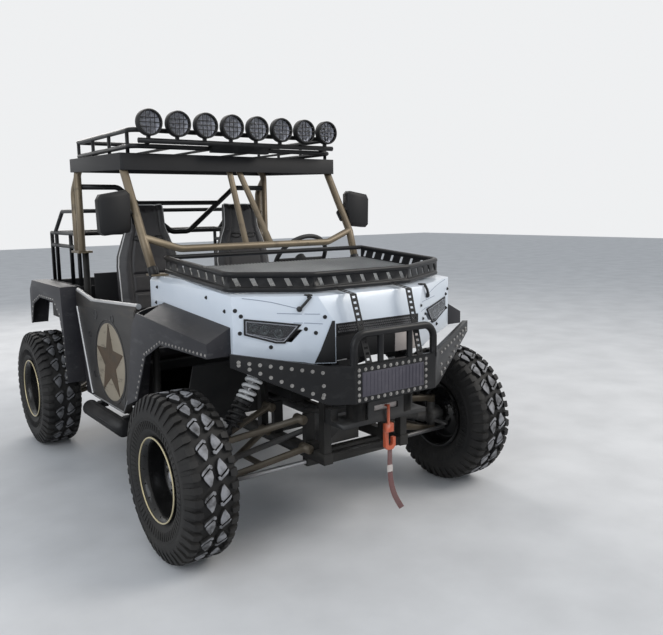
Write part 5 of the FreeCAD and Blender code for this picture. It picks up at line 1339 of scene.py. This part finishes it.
def star_parts(side):
    """A star of five arms, each of them two slopes that meet on a ridge."""
    parts = []
    for arm in turns(5):
        for way, notch_lift in NOTCH_LIFTS:
            tip_turn = math.pi / 2 + arm
            ends = ((0.0, 0.0), (STAR_R, tip_turn), (STAR_R * NOTCH_SHARE, tip_turn + way * math.pi / 5))
            low = [at(STAR_S - r * math.cos(a), side * STAR_FACE_X, STAR_Z + r * math.sin(a)) for r, a in ends]
            high = [p + LEFT * (side * lift) for p, lift in zip(low, (MIDDLE_LIFT, TIP_LIFT, notch_lift))]
            parts.append((low + high, [(0, 1, 2), (3, 5, 4), (0, 1, 4, 3), (1, 2, 5, 4), (2, 0, 3, 5)]))
    return parts


print("star slopes", len(star_parts(1)))

# %% [markdown]
# The disc and the openings are turned profiles, and the rail, the strip and the hem are bars through a few
# points. They are joined to one piece a door, because they never move apart from it.

# %% Everything set on a door
DOOR_FACE_X, DISC_R, HALO_R = 0.710, 0.226, 0.246
# (station, height, radius) of the dark round dishes
DOOR_ROUNDS = ((1.379, 0.932, 0.026), (0.985, 0.492, 0.030), (1.10, 0.935, 0.020), (1.452, 0.560, 0.018),
               (1.500, 0.800, 0.016), (0.865, 0.640, 0.016))
# (how far out, radius, sides, path of stations and heights): top rail, rear strip, lower hem
DOOR_BARS = [(0.693, 0.0150, 14, [(0.730, 1.041), (1.211, 1.016), (1.458, 1.005), (1.742, 1.047)]),
             (0.7105, 0.0075, 10, [(1.722, 0.948), (1.650, 0.760), (1.535, 0.470), (1.512, 0.428)]),
             (0.7105, 0.004, 8, [(1.500, 0.420), (0.990, 0.420), (0.905, 0.522)])]


def door_dress(name, side, body):
    """Star, disc, ring, dark round dishes and pale edges of one door."""
    face, out = side * DOOR_FACE_X, LEFT * side
    disc = turned([(0.0, DISC_R), (0.0014, DISC_R - 0.001), (0.0018, DISC_R - 0.012), (0.0018, 0.0005)],
                  at(STAR_S, face, STAR_Z), out, 72)
    halo = [at(STAR_S + HALO_R * math.cos(a), face, STAR_Z + HALO_R * math.sin(a)) for a in turns(48)]
    rounds = [turned([(0.0, r + 0.004), (0.0024, r + 0.003), (0.0024, r), (0.0006, r - 0.001), (0.0006, 0.0005)],
                     at(station, face, z), out, 28) for station, z, r in DOOR_ROUNDS]
    bars = [bar([at(station, side * x, z) for station, z in path], radius, sides)
            for x, radius, sides, path in DOOR_BARS]
    trim = piece(name, [in_finish(star_parts(side), "star_brown", smooth=20), in_finish([disc], "disc_tan"),
                        in_finish([bar(halo, 0.0028, 8, closed=True)], "bolt_dark"),
                        in_finish(rounds, "bolt_dark"), in_finish(bars, "pale_edge")], body)
    return len(trim.data.polygons)


print("door trim faces", door_dress("door_trim_left", 1, "door_left"), door_dress("door_trim_right", -1, "door_right"))

# %% [markdown]
# ## Hood rack floor
# The basket on the hood has a floor of wire mesh: two families of thin wires that cross every two
# centimetres. Each wire is as long as the tray is wide where it lies.

# %% Wire mesh of the hood rack
TRAY_X, TRAY_FRONT_X, TRAY_FRONT_S, TRAY_CORNER_S, TRAY_REAR_S = 0.621, 0.278, -0.274, -0.120, 0.520
TRAY_FRONT_Z, TRAY_SLOPE, WIRE_SHORT, WIRE_ABOVE = 1.1885, 0.070, 0.006, 0.003
WIRE_R, WIRE_GAP, CROSS_WIRES, LONG_WIRES = 0.0019, 0.020, 39, 61


def tray_point(station, x, above=0.0):
    """A point on the rack's floor, which rises to the rear."""
    return at(station, x, TRAY_FRONT_Z + (station - TRAY_FRONT_S) * TRAY_SLOPE + above)


wires = []
for station in (TRAY_FRONT_S + WIRE_GAP * (k + 1) for k in range(CROSS_WIRES)):
    widening = min(1.0, (station - TRAY_FRONT_S) / (TRAY_CORNER_S - TRAY_FRONT_S))
    half = TRAY_FRONT_X + (TRAY_X - TRAY_FRONT_X) * widening - WIRE_SHORT
    wires.append(bar([tray_point(station, -half), tray_point(station, half)], WIRE_R, 5))
for x in (WIRE_GAP * (k - LONG_WIRES // 2) for k in range(LONG_WIRES)):
    beyond = max(0.0, (abs(x) - TRAY_FRONT_X) / (TRAY_X - TRAY_FRONT_X))
    start = TRAY_FRONT_S + beyond * (TRAY_CORNER_S - TRAY_FRONT_S) + WIRE_SHORT
    rear = tray_point(TRAY_REAR_S, x, WIRE_ABOVE) + FORWARD * WIRE_SHORT
    wires.append(bar([tray_point(start, x, WIRE_ABOVE), rear], WIRE_R, 5))
piece("hood_rack_mesh", [in_finish(wires, "fine_mesh")])
print("wires", len(wires))

# %% [markdown]
# ## Mirrors and pillar clamps
# Each mirror pod gets silvered glass on its rear face, with a lip round it, and dark clamps grip the front
# pillars. A clamp is a turned band about the line between two points of the pillar.

# %% Mirror glass and pillar clamps
MIRROR_S, GLASS_IN, LIP_IN = 0.7995, 0.012, 0.002
MIRROR_OUTLINE = [(0.700, 1.450), (0.712, 1.425), (0.840, 1.412), (0.862, 1.430), (0.866, 1.590), (0.850, 1.618),
                  (0.720, 1.640), (0.700, 1.620)]
glass_edge, lip_edge = ([at(MIRROR_S, x, z) for x, z in inset(MIRROR_OUTLINE, d)] for d in (GLASS_IN, LIP_IN))
glass = mirrored([plate(glass_edge, BACKWARD * 0.0015)])
piece("mirror_glass", [in_finish(glass, "mirror_face")])
lips = mirrored([ring_plate(lip_edge, glass_edge, BACKWARD * 0.0040)])
piece("mirror_lips", [in_finish(lips, "black_plastic", 0.0008)])
PILLAR_FOOT, PILLAR_KNEE, PILLAR_TOP = at(0.612, 0.648, 1.211), at(0.690, 0.665, 1.392), at(0.952, 0.665, 1.725)
# (from, to, share of the way, radius, half width)
CLAMPS = [(PILLAR_KNEE, PILLAR_TOP, 0.26, 0.022, 0.012), (PILLAR_KNEE, PILLAR_TOP, 0.34, 0.022, 0.012),
          (PILLAR_KNEE, PILLAR_TOP, 0.30, 0.0222, 0.030), (PILLAR_FOOT, PILLAR_KNEE, 0.10, 0.022, 0.022)]


def clamp(low, high, share, radius, half):
    """A clamp ring with eased edges round a tube."""
    edge = [(-half, radius - 0.001), (-half, radius + 0.0025), (-half + 0.003, radius + 0.004)]
    profile = edge + [(-along, r) for along, r in reversed(edge)]
    return turned(profile, low.lerp(high, share), high - low, 32, closed=True)


clamps = mirrored([clamp(*one) for one in CLAMPS])
piece("pillar_clamps", [in_finish(clamps, "black_tube")])
print("clamps", len(clamps))

# %% [markdown]
# ## The dashboard
# A round gauge stands before the driver: a dark rim, a face with ticks, and a red needle. A row of switches
# is set in the dash's sloped rear face, and a thin line frames the glovebox.

# %% Gauge
GAUGE_AT = at(0.7455, 0.360, 1.168)
GAUGE_RIM = [(0.0, 0.0460), (0.004, 0.0450), (0.004, 0.0405), (0.0015, 0.0395), (0.0015, 0.0005)]
GAUGE_FACE = [(0.0016, 0.0005), (0.0016, 0.0390), (0.0024, 0.0385), (0.0026, 0.0005)]
TICKS, TICK_FIRST, TICK_STEP = 25, -120, 10
tick, tick_faces = block((-0.0008, 0.0024, 0.029), (0.0008, 0.0034, 0.036))
spins = [Matrix.Rotation(math.radians(TICK_FIRST + TICK_STEP * k), 3, "Y") for k in range(TICKS)]
needle = bar([GAUGE_AT + Vector((0, 0.0036, 0)), GAUGE_AT + Vector((0.022, 0.0036, -0.016))], 0.0008, 6)
gauge = [in_finish([turned(GAUGE_RIM, GAUGE_AT, BACKWARD, 40)], "bolt_dark"),
         in_finish([turned(GAUGE_FACE, GAUGE_AT, BACKWARD, 40)], "gauge_face"),
         in_finish([([GAUGE_AT + spin @ p for p in tick], tick_faces) for spin in spins], "pale_edge"),
         in_finish([needle], "hook_red")]
print("gauge ticks", len(spins))

# %% [markdown]
# The dash leans, so a switch is a small plate drawn between two shares of the slope's height and pushed out
# square to it. That keeps every pad on the slope, whatever its angle.

# %% Switches and glovebox
SLOPE_LOW, SLOPE_HIGH = at(0.745, 0, 1.110), at(0.700, 0, 1.180)
SLOPE_OUT = (SLOPE_HIGH - SLOPE_LOW).normalized().cross(LEFT)
SWITCH_X = [-0.070 + 0.034 * k for k in range(6)]
GLOVEBOX = ((-0.480, 0.945), (-0.180, 0.945), (-0.180, 1.075), (-0.480, 1.075))


def slope_pad(x, half, low, high, deep):
    """A raised pad on the dash's sloped face, between two shares of its height."""
    corners = ((x - half, low), (x + half, low), (x + half, high), (x - half, high))
    return plate([SLOPE_LOW.lerp(SLOPE_HIGH, share) + LEFT * across for across, share in corners], SLOPE_OUT * deep)


glovebox = [bar([at(0.7415, x, z) for x, z in GLOVEBOX], 0.0018, 6, closed=True),
            block(at(0.7400, -0.350, 1.050), at(0.7500, -0.310, 1.062))]
dash = piece("dash_controls", gauge + [
    in_finish([slope_pad(x, 0.0125, 0.28, 0.76, 0.009) for x in SWITCH_X], "winch_black", 0.0015),
    in_finish([slope_pad(0.015, 0.110, 0.18, 0.86, 0.003)], "black_plastic", 0.001),
    in_finish([slope_pad(x, 0.0030, 0.60, 0.66, 0.0097) for x in SWITCH_X], "pale_edge"),
    in_finish(glovebox, "bolt_dark")])
print("dash faces", len(dash.data.polygons))

# %% [markdown]
# ## Cargo bed and tail lamps
# The bed's floor is ribbed, and the tailgate has pressed ribs, a latch and bolts. Each tail lamp has a dark
# frame and a clear lower part. These pieces tip with the bed or drop with the tailgate.

# %% Bed ribs and tailgate
BED_FRONT, BED_REAR, BED_FLOOR, GATE_REAR = 1.812, 2.470, 0.800, 2.500
BED_RIBS, BED_RIB_PITCH = 13, 0.0977
# (low x, low z, high x, high z) of the tailgate's pressed ribs
GATE_RIBS = ((-0.600, 0.845, 0.600, 0.857), (-0.600, 1.018, 0.600, 1.030), (-0.600, 0.845, -0.588, 1.030),
             (0.588, 0.845, 0.600, 1.030), (-0.205, 0.845, -0.193, 1.030), (0.193, 0.845, 0.205, 1.030))


def gate_block(out_from, out_to, x0, z0, x1, z1):
    """A block on the tailgate's rear face between two distances out from it."""
    return block(at(GATE_REAR + out_from, x0, z0), at(GATE_REAR + out_to, x1, z1))


rib = block(at(BED_FRONT + 0.030, -0.600, BED_FLOOR), at(BED_REAR - 0.012, -0.572, BED_FLOOR + 0.014))
ribs = copies([rib], BED_RIBS, "black_plastic", step=(BED_RIB_PITCH, 0, 0), bevel=0.003)
piece("bed_floor_ribs", [ribs], "bed")
latch = [gate_block(-0.001, 0.0034, -0.075, 0.955, 0.075, 1.005),
         gate_block(0.002, 0.0036, -0.050, 0.966, 0.050, 0.992)]
gate_bolts = [(at(GATE_REAR, x, z), BACKWARD) for x in (-0.56, -0.32, 0.32, 0.56) for z in (0.826, 1.043)]
piece("tailgate_trim", [
    in_finish([gate_block(-0.001, 0.0032, *corners) for corners in GATE_RIBS], "black_plastic", 0.0012),
    in_finish(latch, "winch_black", 0.001),
    studs(gate_bolts, 0.0065, 0.0034, 8, "rivet_pale")], "tailgate")
print("bed ribs", len(ribs.polygons), "faces")

# %% [markdown]
# A tail lamp's own solid is the red block. Five bars frame it, and a small pale block is its clear part; both
# stand only a millimetre or two proud, so that they read as one lamp.

# %% Tail lamp frames and clear parts
REAR_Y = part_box("tail_lamps")[1].y
# (low x, high x, low z, high z, how far forward) of the frame's bars
FRAME_BARS = ((0.6510, 0.6845, 0.905, 0.911, 0.064), (0.6510, 0.6845, 0.952, 0.956, 0.064),
              (0.6510, 0.6845, 1.034, 1.040, 0.064), (0.6510, 0.6535, 0.905, 1.040, 0.004),
              (0.6815, 0.6845, 0.905, 1.040, 0.004))
frames = [block((x0, REAR_Y - deep, z0), (x1, REAR_Y + 0.0022, z1)) for x0, x1, z0, z1, deep in FRAME_BARS]
clear = [block((0.6540, REAR_Y - 0.002, 0.912), (0.6810, REAR_Y + 0.0012, 0.951))]
piece("tail_lamp_trim", [
    in_finish(mirrored(frames), "black_plastic", 0.0006),
    in_finish(mirrored(clear), "spring_white", 0.0006)], "bed")
print("tail lamp frames", len(frames), "bars a side")

# %% [markdown]
# ## Side steps and winch rope
# Rubber rings grip the side steps, whose ends are capped, and rope is wound on the winch drum. Both are
# rows of one turned ring, set by the copies tree.

# %% Step grips, caps and rope
STEP_X, STEP_Z = 0.745, 0.352
GRIP = [(-0.006, 0.0470), (-0.004, 0.0478), (0.004, 0.0478), (0.006, 0.0470)]
END_CAP = [(-0.010, 0.0470), (-0.001, 0.0475), (0.0001, 0.040), (0.0001, 0.0005)]
GRIPS, GRIP_PITCH, ROPE_TURNS, ROPE_PITCH, ROPE_R, ROPE_COIL_R = 15, 0.034, 23, 0.006, 0.0028, 0.0400
grips = [copies([turned(GRIP, at(0.955, side * STEP_X, STEP_Z), BACKWARD, 32, closed=True)], GRIPS,
                "wheel_grip", step=(0, GRIP_PITCH, 0)) for side in (1, -1)]
caps = mirrored([turned(END_CAP, at(station, STEP_X, STEP_Z), aim, 32)
                 for station, aim in ((0.9052, FORWARD), (1.4648, BACKWARD))])
piece("step_trim", grips + [in_finish(caps, "bolt_dark")])
coil = turned(round_section(0, ROPE_COIL_R, ROPE_R, 6), at(-0.385, -0.066, 0.640), LEFT, 40, closed=True)
rope = copies([coil], ROPE_TURNS, "strap_band", step=(ROPE_PITCH, 0, 0))
piece("winch_rope", [rope])
print("rope", len(rope.polygons), "faces")

# %% [markdown]
# ## Seats by cloth simulation
# A bucket seat is foam under tight vinyl: crowned panels, sides that pull in, and sewn channels. A slightly
# small pad is remeshed, blown up a little by cloth pressure, and its travel capped so it stays in its place.

# %% Blow up one pad
VOXEL, PRESSURE, CLOTH_FRAMES, TRAVEL_CAP = 0.008, 4.0, 20, 0.022


def swap_mesh(thing):
    """Give an object the mesh that its modifiers make, and drop them."""
    done = result_of(thing)
    thing.modifiers.clear()
    thing.data = done


def swell(pad):
    """Blow a pad up by cloth pressure, take out its drift, and cap each point's travel."""
    start = [v.co.copy() for v in pad.data.vertices]
    cloth = pad.modifiers.new("cloth", "CLOTH")
    cloth.settings.use_pressure = True
    cloth.settings.uniform_pressure_force = PRESSURE
    cloth.settings.effector_weights.gravity = 0.0
    cloth.settings.quality = 5
    cloth.point_cache.frame_start, cloth.point_cache.frame_end = 1, CLOTH_FRAMES
    for number in range(1, CLOTH_FRAMES + 1):
        scene.frame_set(number)
    swap_mesh(pad)
    scene.frame_set(1)
    drift = sum(((v.co - p) for v, p in zip(pad.data.vertices, start)), Vector()) / len(start)
    for vertex, place in zip(pad.data.vertices, start):
        travel = vertex.co - place - drift
        vertex.co = place + (travel.normalized() * TRAVEL_CAP if travel.length > TRAVEL_CAP else travel)


def soft_pad(name, part):
    """Remesh a closed form evenly, swell it, and smooth it."""
    pad = put(name, mesh_of(name, [part]))
    remesh = pad.modifiers.new("even", "REMESH")
    remesh.mode, remesh.voxel_size = "VOXEL", VOXEL
    swap_mesh(pad)
    swell(pad)
    smooth = pad.modifiers.new("smooth", "SUBSURF")
    smooth.levels = smooth.render_levels = 1
    done = result_of(pad)
    bpy.data.objects.remove(pad)
    done.name = name
    return done


# %% [markdown]
# Each pad starts as a side outline of stations and heights, pushed across the seat's width with its ends
# drawn in. One seat's cushion and backrest are made; the other seat is their mirror image.

# %% Cushion and backrest
SEAT_X, HALF_SEAT, END_RUN = 0.335, 0.218, 0.025
CUSHION = [(0.952, 0.705), (0.948, 0.762), (0.985, 0.785), (1.180, 0.762), (1.335, 0.758), (1.338, 0.705)]
BACK = [(1.374, 0.705), (1.368, 0.800), (1.405, 1.000), (1.437, 1.240), (1.452, 1.400), (1.463, 1.575), (1.480, 1.597),
        (1.508, 1.588), (1.505, 1.400), (1.500, 1.240), (1.462, 0.705)]


def outline_pad(outline, trim):
    """A closed form across the seat from a side outline, with its ends drawn in by a trim."""
    low, high = SEAT_X - HALF_SEAT, SEAT_X + HALF_SEAT
    rings = ((low, trim), (low + END_RUN, 0.0), (high - END_RUN, 0.0), (high, trim))
    points = [at(s, x, z) for x, draw in rings for s, z in (inset(outline, draw) if draw else outline)]
    return points, skin(len(outline), len(rings))


cushion = soft_pad("seat_cushion", outline_pad(CUSHION, 0.012))
backrest = soft_pad("seat_back", outline_pad(BACK, 0.008))
print("pads", len(cushion.polygons), len(backrest.polygons), "faces")

# %% [markdown]
# The backrest draws in above the shoulders to make the headrest. The sewn channels are then pressed in along
# lines: each is a function that gives a point's distance to it, or None where the seam doesn't run.

# %% Shape the shoulders and sew the channels
SHOULDERS = [(1.20, 1.0), (1.26, 0.96), (1.36, 0.78), (1.43, 0.64), (1.60, 0.585)]
SEAM_DEEP, SEAM_WIDE, PAD_SMOOTH = 0.007, 0.008, 70


def shoulder_width(z):
    """Half the backrest's width at a height, as a share: full below, drawn in to the headrest."""
    for (z0, w0), (z1, w1) in zip(SHOULDERS, SHOULDERS[1:]):
        if z <= z1:
            return w0 + (w1 - w0) * max(0.0, z - z0) / (z1 - z0)
    return SHOULDERS[-1][1]


def across(height, reach):
    """A seam across the backrest at a height."""
    return lambda p: abs(p.z - height) if abs(p.x - SEAT_X) < reach else None


def cushion_across(station, reach):
    """A seam across the cushion at a station."""
    return lambda p: abs(p.y - FRONT_AXLE_Y - station) if abs(p.x - SEAT_X) < reach else None


def along(offset, above, width_at=lambda z: 1.0):
    """A seam along a pad beside its middle, where it stands above a height."""
    return lambda p: abs(p.x - SEAT_X - offset * width_at(p.z)) if p.z > above else None


def sew(mesh, lines):
    """Press seams in along the points' normals, deepest on the line and fading smoothly beside it."""
    normals = [v.normal.copy() for v in mesh.vertices]
    for vertex, normal in zip(mesh.vertices, normals):
        near = [distance for distance in (line(vertex.co) for line in lines) if distance is not None]
        if near:
            vertex.co -= normal * (SEAM_DEEP * math.exp(-(min(near) / SEAM_WIDE) ** 2))


for vertex in backrest.vertices:
    vertex.co.x = SEAT_X + (vertex.co.x - SEAT_X) * shoulder_width(vertex.co.z)
backrest.update()
sew(backrest, [across(z, 0.115) for z in (0.93, 1.04, 1.15)])
sew(backrest, [along(offset, 0.80, shoulder_width) for offset in (-0.120, 0.120)])
sew(cushion, [cushion_across(station, 0.125) for station in (1.06, 1.16, 1.26)])
sew(cushion, [along(offset, 0.74) for offset in (-0.130, 0.130)])
for mesh in (cushion, backrest):
    shade(mesh, PAD_SMOOTH)
print("headrest is", round(shoulder_width(1.5), 2), "of the full width")

# %% [markdown]
# Both seats are alike, so the right one is a mirror image of the left. Each pad is a piece of its own
# and stands in for the seats' solids.

# %% Four padded pieces


def other_side(mesh):
    """The mirror image of a pad."""
    shape = bmesh.new()
    shape.from_mesh(mesh)
    for vertex in shape.verts:
        vertex.co.x = -vertex.co.x
    bmesh.ops.reverse_faces(shape, faces=shape.faces)
    return mesh_from(mesh.name + "_twin", shape, PAD_SMOOTH)


for name, mesh in (("cushion_left", cushion), ("back_left", backrest), ("cushion_right", other_side(cushion)),
                   ("back_right", other_side(backrest))):
    mesh.materials.clear()
    mesh.materials.append(MATERIALS["seat_vinyl"])
    piece("seat_" + name, [mesh], replaces=["seats"])
print("seat pads done")

# %% [markdown]
# White piping runs along the pads' edges. Its line is drawn near the edge, moved to the nearest point of the
# finished surface, and rounded, so it hugs the pad. Two dark ovals below the headrest are the harness slots.

# %% Lines that hug a pad


def on_surface(mesh, places, lift):
    """Move places to the nearest point of a mesh, a little out along its normal."""
    probe = put("probe", mesh)
    bpy.context.view_layer.update()
    found = []
    for place in places:
        spot, normal = probe.closest_point_on_mesh(place)[1:3]
        found.append(spot + normal * lift)
    bpy.data.objects.remove(probe)
    return found


def hugging_path(mesh, places, spacing=0.02, lift=0.001):
    """A line through places, laid on a pad and rounded by cutting its corners."""
    dense = []
    for a, b in zip(places, places[1:]):
        steps = max(1, int((b - a).length / spacing))
        dense += [a.lerp(b, k / steps) for k in range(steps)]
    dense = on_surface(mesh, dense + [places[-1]], lift)
    cut = [spot for a, b in zip(dense, dense[1:]) for spot in (a.lerp(b, 0.25), a.lerp(b, 0.75))]
    return [dense[0]] + cut + [dense[-1]]


print("piping helpers ready")

# %% [markdown]
# One run of piping goes up one side of the backrest, over the headrest and down the other side, and one goes
# round the front of the cushion. They show the seats' outline against the dark cab, as in the photograph.

# %% White piping and harness slots
PIPING_R, SLOT_R, SLOT_S, SLOT_Z = 0.0034, 0.0045, 1.444, 1.365
# (station, height) of the backrest's front edge; (station, side, drawn in, height) of half the cushion's edge
BACK_EDGE = [(1.368, 0.80), (1.397, 0.95), (1.415, 1.10), (1.430, 1.20), (1.437, 1.26), (1.445, 1.36), (1.452, 1.43),
             (1.458, 1.52), (1.470, 1.585)]
CUSHION_EDGE = [(1.32, -1, 0, 0.772), (0.985, -1, 0, 0.800), (0.950, -1, 0.03, 0.775), (0.946, 1, 0.03, 0.775),
                (0.985, 1, 0, 0.800), (1.32, 1, 0, 0.772)]


def back_edge(side):
    """The front edge of the backrest from its foot up over the shoulder to the headrest."""
    return [at(s, SEAT_X + side * (HALF_SEAT + 0.004) * shoulder_width(z), z) for s, z in BACK_EDGE]


front_edge = [at(s, SEAT_X + side * (HALF_SEAT - drawn), z) for s, side, drawn, z in CUSHION_EDGE]
piping = mirrored([bar(hugging_path(backrest, back_edge(-1) + back_edge(1)[::-1]), PIPING_R, 8),
                   bar(hugging_path(cushion, front_edge), PIPING_R, 8)])
piece("seat_piping", [in_finish(piping, "seat_piping", smooth=60)])
slots = []
for offset in (-0.055, 0.055):
    oval = [at(SLOT_S + 0.0055 * math.sin(a), SEAT_X + offset + 0.034 * math.cos(a), SLOT_Z + 0.013 * math.sin(a))
            for a in turns(24)]
    slots.append(bar(on_surface(backrest, oval, 0.002), SLOT_R, 8, closed=True))
piece("harness_slots", [in_finish(mirrored(slots), "bolt_dark", smooth=60)])
print("piping runs", len(piping))
